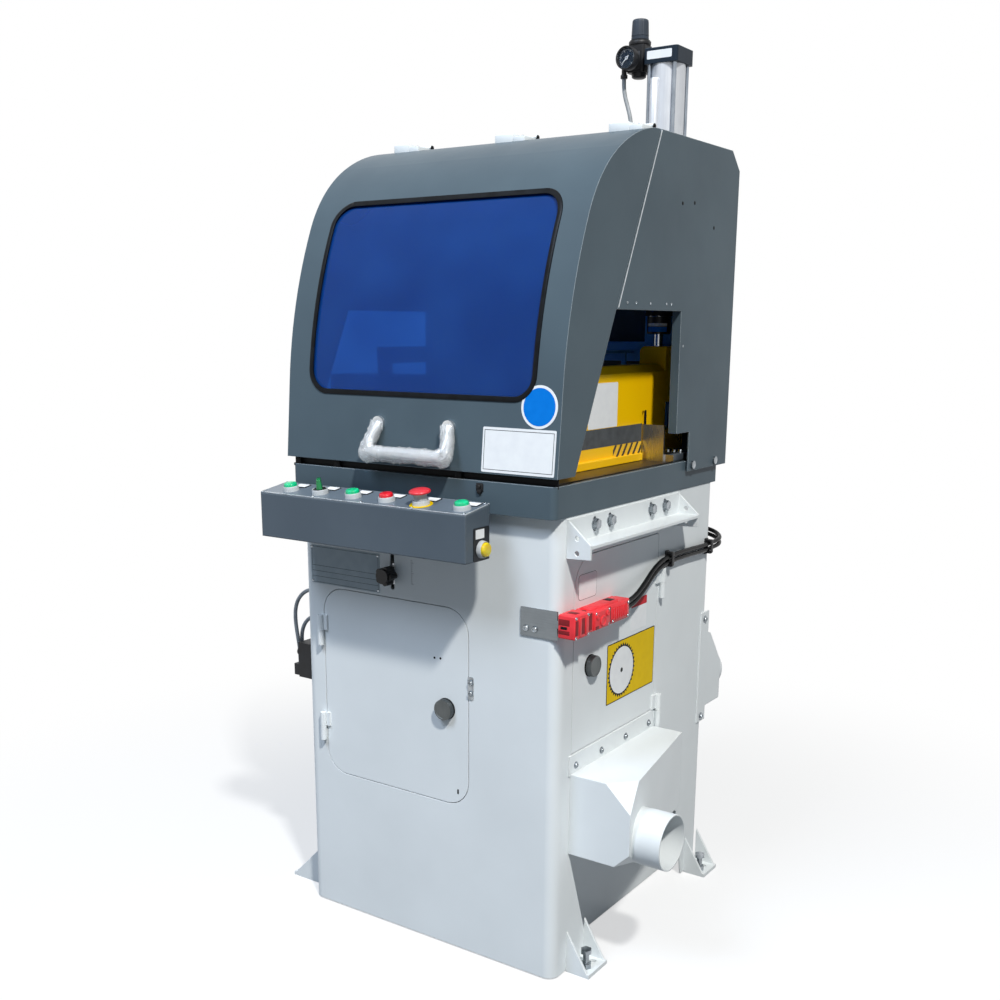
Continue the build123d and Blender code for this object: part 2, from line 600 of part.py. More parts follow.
ESTOP_R = 19.5
ESTOP_LOW = 21
ESTOP_HIGH = 9
ESTOP_ROUND = 4
with BuildPart() as estop_head:
    with Locations(on_lid(ESTOP_X).offset(ESTOP_LOW)):
        Cylinder(ESTOP_R, ESTOP_HIGH, align=above)
        Cylinder(STEM_R, ESTOP_LOW + STEM_DEPTH, align=below)
    rim = estop_head.edges().group_by(lambda edge: edge.center().dot(lid_up))[-1]
    fillet(rim, ESTOP_ROUND)
save(estop_head, "estop_head")

SELECTOR_TURN = 40
with BuildPart() as selector_lever:
    with Locations(on_lid(SELECTOR_X).offset(3)):
        Cylinder(CAP_R, 7, align=above)
        Cylinder(STEM_R, 3 + STEM_DEPTH, align=below)
    with BuildSketch(on_lid(SELECTOR_X).offset(10)):
        Rectangle(9, 23, rotation=SELECTOR_TURN)
    extrude(amount=18, taper=5)
save(selector_lever, "selector_lever")

# Adjusting knob on a stud that slides in the slot of the front wall
STUD_R = 4
with BuildPart() as stop_slider:
    bar((SLIDER_X, -300, SLIDER_Z), (0, -1, 0), STUD_R, 38)
    bar((SLIDER_X, -CAB_Y - 0.5, SLIDER_Z), (0, -1, 0), 10, 2.5)
    block((SLIDER_X - 20, SLIDER_X + 20), (-INNER_Y + 0.6, -302), (SLIDER_Z - 20, SLIDER_Z + 20))
save(stop_slider, "stop_slider")

LOBES = 5
with BuildPart() as hand_knob:
    with BuildSketch(Plane.XZ.offset(318)):
        with Locations((SLIDER_X, SLIDER_Z)):
            Circle(14)
            with PolarLocations(13, LOBES):
                Circle(6)
            Circle(STUD_R + RUNNING, mode=Mode.SUBTRACT)
    extrude(amount=20)
    bar((SLIDER_X, -338, SLIDER_Z), (0, -1, 0), 14, 4)
    bar((SLIDER_X, -318, SLIDER_Z), (0, 1, 0), 9, 4.5)
    bar((SLIDER_X, -338, SLIDER_Z), (0, 1, 0), STUD_R + RUNNING, 30, Mode.SUBTRACT)
save(hand_knob, "hand_knob")

# Safety switch on the side door, its key on the front wall, and its twin cables
with BuildPart() as safety_switch:
    block((CAB_X, CAB_X + 4), (-252, -124), (672, 706))
    outline = [(-320, 668), (-320, 709), (-264, 712), (-256, 707), (-190, 709), (-180, 705), (-118, 704),
               (-118, 671), (-256, 669), (-264, 666)]
    plate(outline, Plane.YZ.offset(CAB_X + 4), 36)
    block((CAB_X + 4, CAB_X + 26), (-315.5, -307.5), (680, 700), Mode.SUBTRACT)
save(safety_switch, "safety_switch")

KEY_Y = (-CAB_Y - SHEET, -CAB_Y)
with BuildPart() as switch_key:
    block((223, 299), KEY_Y, (661, 712))
    block((299, 322), KEY_Y, (683, 697))
save(switch_key, "switch_key")

CABLE_R = 4.5
CABLE_PITCH = 11
CABLE_ROUTE = [
    (322, -118, 694), (322, -92, 694), (319.5, -60, 700), (315.5, -22, 713), (311, 20, 732), (308.5, 62, 744),
    (308, 110, 747), (308.4, 158, 747.5), (308, 206, 746), (308.4, 252, 744.5), (307.7, 302, 745),
    (308, 337, 747), (297, 360, 751), (277.5, 375, 756), (253, 381, 760), (228.5, 375, 764),
    (209, 360, 767), (GLAND[0], 337, GLAND[1]), (GLAND[0], CAB_Y + GLAND_LENGTH, GLAND[1]),
]
with BuildPart() as switch_cables:
    tube(CABLE_ROUTE, CABLE_R)
    tube([(x, y, z - CABLE_PITCH) for x, y, z in CABLE_ROUTE], CABLE_R)
save(switch_cables, "switch_cables")

# Roller bracket on the right wall
BRACKET_Y = (-289, 140)
BRACKET_X = 348
BRACKET_PLATE = 5
ROLLER_HOLE_X = 321
ROLLER_HOLE_Z = [813, 839]
ROLLER_HOLE_R = 4.5
with BuildPart() as roller_bracket:
    block((CAB_X, CAB_X + BRACKET_PLATE), BRACKET_Y, (822, 870))
    block((CAB_X, BRACKET_X), BRACKET_Y, (822, 828))
    cheek = [(CAB_X, 802), (CAB_X, 871), (BRACKET_X, 829), (BRACKET_X, 804)]
    for y in (BRACKET_Y[0] + BRACKET_PLATE, BRACKET_Y[1]):
        plate(cheek, Plane.XZ.offset(-y), BRACKET_PLATE)
    through = BRACKET_Y[1] - BRACKET_Y[0]
    for z in ROLLER_HOLE_Z:
        bar((ROLLER_HOLE_X, BRACKET_Y[0], z), (0, 1, 0), ROLLER_HOLE_R, through, Mode.SUBTRACT)
    with BuildSketch(Plane.YZ.offset(CAB_X)):
        with Locations(*[(y, BRACKET_BOLT_Z) for y in BRACKET_BOLT_Y]):
            SlotOverall(26, 2 * M10_R + 1, rotation=90)
    extrude(amount=BRACKET_PLATE, mode=Mode.SUBTRACT)
save(roller_bracket, "roller_bracket")

# Feet
with BuildPart() as foot_brackets:
    for side, reach, top in ((1, FOOT_RIGHT, 82), (-1, -FOOT_LEFT, 110)):
        for low, high in FOOT_Y:
            span = sorted((side * CAB_X, side * reach))
            block(span, (low, high), (0, FOOT_PLATE))
            triangle = [(side * CAB_X, FOOT_PLATE), (side * (reach - 5), FOOT_PLATE), (side * CAB_X, top)]
            for y in (low + GUSSET, high):
                plate(triangle, Plane.XZ.offset(-y), GUSSET)
        for y in ANCHOR_Y:
            bar((side * ANCHOR_X, y, 0), (0, 0, 1), ANCHOR_R, FOOT_PLATE, Mode.SUBTRACT)
        for y in LEVEL_Y:
            bar((side * ANCHOR_X, y, 0), (0, 0, 1), 6.2, FOOT_PLATE, Mode.SUBTRACT)
save(foot_brackets, "foot_brackets")

# Bolts of the feet, the roller bracket and the rear hood
with BuildPart() as hex_bolts:
    for side in (-1, 1):
        for y in LEVEL_Y:
            bar((side * ANCHOR_X, y, 0), (0, 0, 1), 6, 40)
            hexagon((side * ANCHOR_X, y, FOOT_PLATE), (0, 0, 1), 19, 10)
            hexagon((side * ANCHOR_X, y, 38), (0, 0, 1), 19, 8)
        for y in HOOD_BOLT_Y:
            inner = TRAY_X - TRAY_WALL
            bar((side * inner, y, HOOD_BOLT_Z), (side, 0, 0), M8_R, HOOD_X - inner)
            bar((side * HOOD_X, y, HOOD_BOLT_Z), (side, 0, 0), 8, 4.5)
    for y in BRACKET_BOLT_Y:
        bar((INNER_X - 8, y, BRACKET_BOLT_Z), (1, 0, 0), M10_R, 25)
        bar((CAB_X + BRACKET_PLATE, y, BRACKET_BOLT_Z), (1, 0, 0), 10.5, 2)
        hexagon((CAB_X + BRACKET_PLATE + 2, y, BRACKET_BOLT_Z), (1, 0, 0), 17, 7)
save(hex_bolts, "hex_bolts")

# Chip chute on the right wall: a folded box with two cut corners and a hose spigot
with BuildPart() as chip_chute:
    plate(CHUTE_PLAN, Plane.XY.offset(CHUTE_Z[0]), CHUTE_Z[1] - CHUTE_Z[0])
    for a, b, c in CHUTE_FACETS:
        normal = (Vector(*b) - Vector(*a)).cross(Vector(*c) - Vector(*a))
        outward = normal if normal.X > 0 else normal * -1
        split(bisect_by=Plane(a, z_dir=outward), keep=Keep.BOTTOM)
    offset(amount=-CHUTE_WALL, openings=chip_chute.faces().sort_by(Axis.X)[0])
    block((CAB_X, CAB_X + CHUTE_WALL), (-268, 60), (CHUTE_Z[1] - CHUTE_WALL, 434))
    bar((SPIGOT_ROOT, *CHUTE_SPIGOT), (1, 0, 0), SPIGOT_R - ROOT_STEP, SPIGOT_FROM - SPIGOT_ROOT)
    bar((SPIGOT_FROM, *CHUTE_SPIGOT), (1, 0, 0), SPIGOT_R, CHUTE_MOUTH - SPIGOT_FROM)
    bar((CAB_X + 60, *CHUTE_SPIGOT), (1, 0, 0), SPIGOT_R - CHUTE_WALL, 200, Mode.SUBTRACT)
save(chip_chute, "chip_chute")

# Rear chute behind the right end of the back wall, with a flange round the corner
with BuildPart() as rear_chute:
    plate(REAR_PROFILE, Plane.YZ.offset(REAR_X[0]), REAR_X[1] - REAR_X[0])
    offset(amount=-CHUTE_WALL, openings=rear_chute.faces().sort_by(Axis.Y)[0])
    block((CAB_X, REAR_X[1]), (274, CAB_Y + CHUTE_WALL), (345, 593))
    block((REAR_X[0] - 15, REAR_X[0] + CHUTE_WALL), (CAB_Y, CAB_Y + CHUTE_WALL), (376, 545))
    x, z = REAR_SPIGOT
    bar((x, REAR_ROOT, z), (0, 1, 0), REAR_SPIGOT_R - ROOT_STEP, REAR_FROM - REAR_ROOT)
    bar((x, REAR_FROM, z), (0, 1, 0), REAR_SPIGOT_R, REAR_MOUTH - REAR_FROM)
    bar((x, 345, z), (0, 1, 0), REAR_SPIGOT_R - CHUTE_WALL, 120, Mode.SUBTRACT)
save(rear_chute, "rear_chute")

# Saw frame on the back wall, the pivot shaft, and the shelf of the lift cylinder
LUGS = [(-70, -50), (150, 170)]
with BuildPart() as saw_frame:
    block((-270, 270), (INNER_Y - 30, INNER_Y), (700, 780))
    for low, high in LUGS:
        block((low, high), (PIVOT[0], INNER_Y - 30), (PIVOT[1] - 32, PIVOT[1] + 32))
        bar((low, *PIVOT), (1, 0, 0), 32, high - low)
    block((90, 120), (INNER_Y - 12, INNER_Y), (LIFT_Z[0] - 12, 700))
    block((LIFT[0] - 40, LIFT[0] + 40), (20, INNER_Y), (LIFT_Z[0] - 12, LIFT_Z[0]))
    for low, high in LUGS:
        bar((low, *PIVOT), (1, 0, 0), PIVOT_R, high - low, Mode.SUBTRACT)
save(saw_frame, "saw_frame")

with BuildPart() as pivot_shaft:
    bar((-78, *PIVOT), (1, 0, 0), PIVOT_R, 256)
save(pivot_shaft, "pivot_shaft")

# Swing arm: pivot tube, beam with a lift pad, bearing housing and motor plate
to_arbor = Vector(ARBOR[0] - PIVOT[0], ARBOR[1] - PIVOT[1])
to_motor = Vector(MOTOR[0] - PIVOT[0], MOTOR[1] - PIVOT[1])
HOUSING_X = (60, 150)
HOUSING_R = 45
BEARING_R = 36
PLATE_NEAR = MOTOR_R + 5
PLATE_FAR = PLATE_NEAR + 12
with BuildPart() as swing_arm:
    bar((-45, *PIVOT), (1, 0, 0), 32, 190)
    plate(strut(PIVOT, ARBOR, ARM_HALF), Plane.YZ.offset(80), 50)
    bar((HOUSING_X[0], *ARBOR), (1, 0, 0), HOUSING_R, HOUSING_X[1] - HOUSING_X[0])
    pad_reach = (165 / to_arbor.length, 222 / to_arbor.length)
    plate(strut(PIVOT, ARBOR, PAD_DEPTH, pad_reach), Plane.YZ.offset(85), 40)
    motor_run = to_motor.length
    plate_reach = (PLATE_NEAR / motor_run, PLATE_FAR / motor_run)
    plate(strut(MOTOR, PIVOT, 80, plate_reach), Plane.YZ.offset(-220), 200)
    plate(strut(MOTOR, PIVOT, 28, (PLATE_FAR / motor_run, 1)), Plane.YZ.offset(-45), 65)
    bar((-60, *PIVOT), (1, 0, 0), PIVOT_R + RUNNING, 220, Mode.SUBTRACT)
    bar((50, *ARBOR), (1, 0, 0), BEARING_R, 110, Mode.SUBTRACT)
save(swing_arm, "swing_arm")

ARBOR_R = 17.5
with BuildPart() as arbor_bearings:
    for x in (65, 125):
        bar((x, *ARBOR), (1, 0, 0), BEARING_R - 0.02, 20)
        bar((x, *ARBOR), (1, 0, 0), ARBOR_R + RUNNING, 20, Mode.SUBTRACT)
save(arbor_bearings, "arbor_bearings")

FLANGE_R = 60
FLANGE_X = 170
BLADE_BORE_R = 15
blade_left = BLADE_X - BLADE_HALF
blade_right = BLADE_X + BLADE_HALF
with BuildPart() as arbor:
    bar((20, *ARBOR), (1, 0, 0), ARBOR_R, FLANGE_X - 20)
    bar((FLANGE_X, *ARBOR), (1, 0, 0), FLANGE_R, blade_left - FLANGE_X)
    bar((blade_left, *ARBOR), (1, 0, 0), BLADE_BORE_R, 40)
save(arbor, "arbor")

with BuildPart() as arbor_pulley:
    bar((BELT_X[0], *ARBOR), (1, 0, 0), ARBOR_PULLEY_R, BELT_X[1] - BELT_X[0])
    bar((BELT_X[0], *ARBOR), (1, 0, 0), ARBOR_R + 0.02, BELT_X[1] - BELT_X[0], Mode.SUBTRACT)
save(arbor_pulley, "arbor_pulley")

GULLET = 7
tooth_step = 360 / TEETH
with BuildPart() as saw_blade:
    with BuildSketch(Plane.YZ.offset(blade_left)):
        with Locations(ARBOR):
            with BuildLine():
                teeth = []
                for tooth in range(TEETH):
                    for radius, turn in ((BLADE_R, 0), (BLADE_R - 1.5, 0.35), (BLADE_R - GULLET, 0.7)):
                        angle = math.radians((tooth + turn) * tooth_step)
                        point = (ARBOR[0] + radius * math.cos(angle), ARBOR[1] + radius * math.sin(angle))
                        teeth.append(point)
                Polyline(*teeth, close=True)
            make_face()
        with Locations(ARBOR):
            Circle(BLADE_BORE_R + 0.02, mode=Mode.SUBTRACT)
    extrude(amount=2 * BLADE_HALF)
save(saw_blade, "saw_blade")

with BuildPart() as blade_flange:
    bar((blade_right, *ARBOR), (1, 0, 0), FLANGE_R, 13)
    hexagon((blade_right + 13, *ARBOR), (1, 0, 0), 46, 16)
    bar((blade_right, *ARBOR), (1, 0, 0), BLADE_BORE_R + 0.02, 40, Mode.SUBTRACT)
save(blade_flange, "blade_flange")

SHAFT_R = 14
with BuildPart() as motor:
    bar((MOTOR_X[0], *MOTOR), (1, 0, 0), MOTOR_R, MOTOR_X[1] - MOTOR_X[0])
    plate(strut(MOTOR, PIVOT, 70, (80 / motor_run, PLATE_NEAR / motor_run)), Plane.YZ.offset(-210), 180)
    terminal = Vector(*MOTOR) + to_motor.normalized().rotate(Axis.Z, -90) * 122
    plate(strut(MOTOR, (terminal.X, terminal.Y), 40, (0.6, 1)), Plane.YZ.offset(-170), 90)
    bar((-122, *MOTOR), (1, 0, 0), SHAFT_R + RUNNING, 130, Mode.SUBTRACT)
save(motor, "motor")

with BuildPart() as motor_pulley:
    bar((-118, *MOTOR), (1, 0, 0), SHAFT_R, 178)
    bar((BELT_X[0], *MOTOR), (1, 0, 0), MOTOR_PULLEY_R, BELT_X[1] - BELT_X[0])
save(motor_pulley, "motor_pulley")

BELT_GAP = 0.4
BELT_THICK = 6


def belt_loop(grow):
    """Outline round both pulleys, grown by a distance."""
    with BuildSketch(Plane.YZ.offset(BELT_X[0] + 3)) as loop:
        with Locations(MOTOR):
            Circle(MOTOR_PULLEY_R + grow)
        with Locations(ARBOR):
            Circle(ARBOR_PULLEY_R + grow)
        make_hull()
    return loop.sketch


with BuildPart() as drive_belt:
    extrude(belt_loop(BELT_GAP + BELT_THICK) - belt_loop(BELT_GAP), amount=BELT_X[1] - BELT_X[0] - 6)
save(drive_belt, "drive_belt")

# Lift cylinder on its shelf, and the rod that pushes the arm up
LIFT_BORE_R = 25
LIFT_ROD_R = 10
with BuildPart() as lift_cylinder:
    bar((*LIFT, LIFT_Z[0]), (0, 0, 1), 35, LIFT_Z[1] - LIFT_Z[0])
    bar((*LIFT, LIFT_Z[0] + 8), (0, 0, 1), LIFT_BORE_R, LIFT_Z[1] - LIFT_Z[0] - 22, Mode.SUBTRACT)
    bar((*LIFT, LIFT_Z[1] - 20), (0, 0, 1), LIFT_ROD_R + RUNNING, 30, Mode.SUBTRACT)
save(lift_cylinder, "lift_cylinder")

with BuildPart() as lift_rod:
    bar((*LIFT, LIFT_Z[0] + 13), (0, 0, 1), LIFT_BORE_R - RUNNING, 14)
    bar((*LIFT, LIFT_Z[0] + 20), (0, 0, 1), LIFT_ROD_R, PUSHER_Z - LIFT_Z[0] - 20)
    with Locations((*LIFT, PUSHER_Z)):
        Sphere(PUSHER_R)
save(lift_rod, "lift_rod")

# Clamp guard over the blade slot: a deep channel with a lug for the rod and a slot for the fence
GUARD_CHAMFER = 14
FENCE_SLOT_Y = (124, 135)
FENCE_SLOT_TOP = 1027
SKIRT = (7, 14)  # width and height of the bar along the guard's right foot
REAR_LUG_Z = (940, 985)
REAR_LUG_Y = (GUARD_Y[1], 312)
REAR_LUG_HOLE = (296, 963)
with BuildPart() as clamp_guard:
    left, right = GUARD_X
    shoulder = GUARD_TOP - GUARD_CHAMFER
    section = [(left, GUARD_BOTTOM), (left, shoulder), (left + GUARD_CHAMFER, GUARD_TOP),
               (right - GUARD_CHAMFER, GUARD_TOP), (right, shoulder), (right, GUARD_BOTTOM)]
    plate(section, Plane.XZ.offset(-GUARD_Y[1]), GUARD_Y[1] - GUARD_Y[0])
    block((LUG_LEFT, right), LUG_Y, (LUG_BOTTOM, LUG_TOP))
    edges_along = clamp_guard.edges().filter_by(Axis.Y).group_by(Axis.Z)[-1]
    fillet(edges_along.sort_by(Axis.X)[0], LUG_CORNER)
    block((left + GUARD_WALL, right - GUARD_WALL), (GUARD_Y[0] + GUARD_WALL, GUARD_Y[1] - GUARD_WALL),
          (GUARD_BOTTOM, shoulder), Mode.SUBTRACT)
    block((right, right + SKIRT[0]), (GUARD_Y[0], 118), (GUARD_BOTTOM, GUARD_BOTTOM + SKIRT[1]))
    block((right - GUARD_WALL, right), REAR_LUG_Y, REAR_LUG_Z)
    bar((left, *REAR_LUG_HOLE), (1, 0, 0), 7, right - left, Mode.SUBTRACT)
    block((left, right), FENCE_SLOT_Y, (GUARD_BOTTOM, FENCE_SLOT_TOP), Mode.SUBTRACT)
save(clamp_guard, "clamp_guard")

COLLAR_R = 24  # collar on the rod that slides up into the guide sleeve
COLLAR_Z = (1178, 1216)
PISTON_Z = (1560, 1580)
with BuildPart() as clamp_rod:
    bar((*CLAMP, LUG_TOP), (0, 0, 1), CLAMP_ROD_R, PISTON_Z[1] - LUG_TOP)
    bar((*CLAMP, COLLAR_Z[0]), (0, 0, 1), COLLAR_R, COLLAR_Z[1] - COLLAR_Z[0])
    bar((*CLAMP, PISTON_Z[0]), (0, 0, 1), BORE_R - RUNNING, PISTON_Z[1] - PISTON_Z[0])
save(clamp_rod, "clamp_rod")

# Column, bridge plate and guide sleeve of the clamp, with the arm of the left hold-down plate
COLUMN_X = (146, 205)
COLUMN_Y = (270, 314)
COLUMN_WALL = 5
SPACER_X = (COLUMN_X[1], 236)
SPACER_BOTTOM = 1060
SLEEVE_BOTTOM = 1212
SLEEVE_R = 27
SLEEVE_DEPTH = 80  # how far up the collar's bore goes
HOLD_ARM_Z = (1120, 1160)
STRAP_X = (112, 122)
STRAP_TOP = 1143
STRAP_BOTTOM = 1085
STRAP = 6
STRAP_LEGS_Y = [60, 232]
with BuildPart() as clamp_bridge:
    block(COLUMN_X, COLUMN_Y, (TRAY_FLOOR, BRIDGE_Z[0]))
    block((COLUMN_X[0] + COLUMN_WALL, COLUMN_X[1] - COLUMN_WALL),
          (COLUMN_Y[0] + COLUMN_WALL, COLUMN_Y[1] - COLUMN_WALL), (TRAY_FLOOR, BRIDGE_Z[0]), Mode.SUBTRACT)
    block(SPACER_X, COLUMN_Y, (SPACER_BOTTOM, BRIDGE_Z[0]))
    block((COLUMN_X[0], 240), (190, COLUMN_Y[1]), BRIDGE_Z)
    bar((*CLAMP, SLEEVE_BOTTOM), (0, 0, 1), SLEEVE_R, BRIDGE_Z[0] - SLEEVE_BOTTOM)
    block((-250, COLUMN_X[0]), COLUMN_Y, HOLD_ARM_Z)
    # Hold-down plate on its arm, and the bent strap beside the guard
    block((-190, -150), (-200, COLUMN_Y[0]), (HOLD_ARM_Z[0], 1150))
    block((-180, -160), (-210, -190), (1098, HOLD_ARM_Z[0]))
    block((-267, -67), (-250, -150), (1060, 1098))
    block(STRAP_X, (STRAP_LEGS_Y[0], COLUMN_Y[0]), (STRAP_TOP - STRAP, STRAP_TOP))
    for y in STRAP_LEGS_Y:
        block(STRAP_X, (y, y + STRAP), (STRAP_BOTTOM, STRAP_TOP))
    rod_bore = CLAMP_ROD_R + RUNNING
    bar((*CLAMP, SLEEVE_BOTTOM), (0, 0, 1), rod_bore, BRIDGE_Z[1] - SLEEVE_BOTTOM, Mode.SUBTRACT)
    bar((*CLAMP, SLEEVE_BOTTOM), (0, 0, 1), COLLAR_R + 0.5, SLEEVE_DEPTH, Mode.SUBTRACT)
save(clamp_bridge, "clamp_bridge")

# Tie-rod cylinder through the hood top, with a switch rail on the front of its barrel
TIE = 27
TIE_R = 4
RAIL_X = (174.5, 194.5)
RAIL_Y = (193, 206)
RAIL_TOP = 1660
with BuildPart() as clamp_cylinder:
    bar((*CLAMP, LOWER_CAP_Z[1]), (0, 0, 1), BORE_R + 2.5, UPPER_CAP_Z[0] - LOWER_CAP_Z[1])
    block(RAIL_X, RAIL_Y, (LOWER_CAP_Z[1], RAIL_TOP))
    bar((*CLAMP, LOWER_CAP_Z[1]), (0, 0, 1), BORE_R, UPPER_CAP_Z[0] - LOWER_CAP_Z[1], Mode.SUBTRACT)
save(clamp_cylinder, "clamp_cylinder")

tie_places = [(CLAMP[0] + TIE * i, CLAMP[1] + TIE * j) for i in (-1, 1) for j in (-1, 1)]
with BuildPart() as cylinder_caps:
    for low, high in (LOWER_CAP_Z, UPPER_CAP_Z):
        with BuildSketch(Plane.XY.offset(low)):
            with Locations(CLAMP):
                RectangleRounded(CLAMP_CAP, CLAMP_CAP, 5)
        extrude(amount=high - low)
    lower_bore = LOWER_CAP_Z[1] - LOWER_CAP_Z[0]
    bar((*CLAMP, LOWER_CAP_Z[0]), (0, 0, 1), CLAMP_ROD_R + RUNNING, lower_bore, Mode.SUBTRACT)
    tie_length = UPPER_CAP_Z[1] - LOWER_CAP_Z[0]
    for place in tie_places:
        bar((*place, LOWER_CAP_Z[0]), (0, 0, 1), TIE_R + 0.1, tie_length, Mode.SUBTRACT)
save(cylinder_caps, "cylinder_caps")

with BuildPart() as tie_rods:
    for place in tie_places:
        bar((*place, LOWER_CAP_Z[0]), (0, 0, 1), TIE_R, tie_length)
save(tie_rods, "tie_rods")

# Air regulator with its gauge, on the left of the upper cap
REGULATOR = (133.5, 232)
REGULATOR_Z = (1678, 1728)
REGULATOR_HALF = 19
BONNET_R = 20
BONNET_TOP = 1738
REGULATOR_KNOB_R = 16.5
REGULATOR_TOP = 1776
GAUGE = (133.5, 1698)
GAUGE_R = 21
GAUGE_Y = (175, 191)
POST_R = 8
ELBOW = (116, 203, 1684)
ELBOW_BOTTOM = 1668
cap_left = CLAMP[0] - CLAMP_CAP / 2
body_right = REGULATOR[0] + REGULATOR_HALF
with BuildPart() as regulator_body:
    with BuildSketch(Plane.XY.offset(REGULATOR_Z[0])):
        with Locations(REGULATOR):
            RectangleRounded(2 * REGULATOR_HALF, 2 * REGULATOR_HALF, 6)
    extrude(amount=REGULATOR_Z[1] - REGULATOR_Z[0])
    bar((*REGULATOR, REGULATOR_Z[1]), (0, 0, 1), BONNET_R, BONNET_TOP - REGULATOR_Z[1])
    bar((*REGULATOR, BONNET_TOP), (0, 0, 1), POST_R, 20)
    bar((body_right, REGULATOR[1], 1701), (1, 0, 0), 8, cap_left - body_right)
    bar(ELBOW, (0, 1, 0), 3.5, 16)
    bar((*ELBOW[:2], ELBOW_BOTTOM), (0, 0, 1), 5, ELBOW[2] + 6 - ELBOW_BOTTOM)
save(regulator_body, "regulator_body")

with BuildPart() as regulator_knob:
    bar((*REGULATOR, BONNET_TOP + 0.5), (0, 0, 1), REGULATOR_KNOB_R, REGULATOR_TOP - BONNET_TOP - 0.5)
    bar((*REGULATOR, BONNET_TOP), (0, 0, 1), POST_R + RUNNING, 22, Mode.SUBTRACT)
    fillet(regulator_knob.edges().group_by(Axis.Z)[-1], 3)
save(regulator_knob, "regulator_knob")

with BuildPart() as pressure_gauge:
    bar((GAUGE[0], GAUGE_Y[0], GAUGE[1]), (0, 1, 0), GAUGE_R, GAUGE_Y[1] - GAUGE_Y[0])
    bar((GAUGE[0], GAUGE_Y[0], GAUGE[1]), (0, 1, 0), GAUGE_R - 2, 7, Mode.SUBTRACT)
    bar((GAUGE[0], GAUGE_Y[0] + 1.5, GAUGE[1]), (0, 1, 0), 1, 8)
    bar((GAUGE[0], GAUGE_Y[1], GAUGE[1]), (0, 1, 0), 6, REGULATOR[1] - REGULATOR_HALF - GAUGE_Y[1])
save(pressure_gauge, "pressure_gauge")

with BuildPart() as gauge_needle:
    needle_y = GAUGE_Y[0] + 3
    bar((GAUGE[0], needle_y, GAUGE[1]), (0, 1, 0), 3, 1.2)
    with BuildSketch(Plane((GAUGE[0], needle_y + 1.2, GAUGE[1]), x_dir=(-1, 0, -1), z_dir=(0, -1, 0))):
        with BuildLine():
            Polyline((-6, -1), (-6, 1), (14, 0.3), (14, -0.3), close=True)
        make_face()
    extrude(amount=1.2)
    bar((GAUGE[0], needle_y - 1, GAUGE[1]), (0, 1, 0), 1 + RUNNING, 4, Mode.SUBTRACT)
save(gauge_needle, "gauge_needle")

HOSE_R = 4
REGULATOR_ROUTE = [(*ELBOW[:2], ELBOW_BOTTOM), (*ELBOW[:2], 1652), (119.5, 203, 1632), (127, 202.5, 1612),
                   (134.5, 199.4, 1592), (140.6, 193.4, 1572), (144, 188, 1555), (*GROMMET, 1541),
                   (*GROMMET, GROMMET_TOP)]
with BuildPart() as regulator_hose:
    tube(REGULATOR_ROUTE, HOSE_R)
save(regulator_hose, "regulator_hose")

# Air valve on the left wall with its two hoses
VALVE_X = (-342, -CAB_X)
PORT_X = (-362, VALVE_X[0])
PORT_TOP = 502
LONG_ROUTE = [(-CAB_X, -271, 664), (-318, -271, 664), (-338.4, -271.5, 655.8), (-355.4, -272, 638.8),
              (-364.4, -272, 616.5), (-365.4, -271.5, 588.5), (-361.2, -271, 558.8), (-356, -271, 529.3),
              (-356, -271, PORT_TOP)]
SHORT_ROUTE = [(-CAB_X, -261, 606), (-318, -261, 606), (-336.5, -260.5, 598.5), (-350.9, -260, 584.6),
               (-359, -260, 566.3), (-359.8, -260.5, 544.3), (-356.7, -261, 522.5), (-356.7, -261, PORT_TOP)]
with BuildPart() as air_service_unit:
    block(VALVE_X, (-290, -250), (478, 552))
    block(PORT_X, (-283, -253), (478, PORT_TOP))
    bar((VALVE_X[0], -279, 530), (-1, 0, 0), 8, 7)
save(air_service_unit, "air_service_unit")

with BuildPart() as service_hoses:
    tube(LONG_ROUTE, HOSE_R)
    tube(SHORT_ROUTE, HOSE_R)
save(service_hoses, "service_hoses")
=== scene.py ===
import json
import math

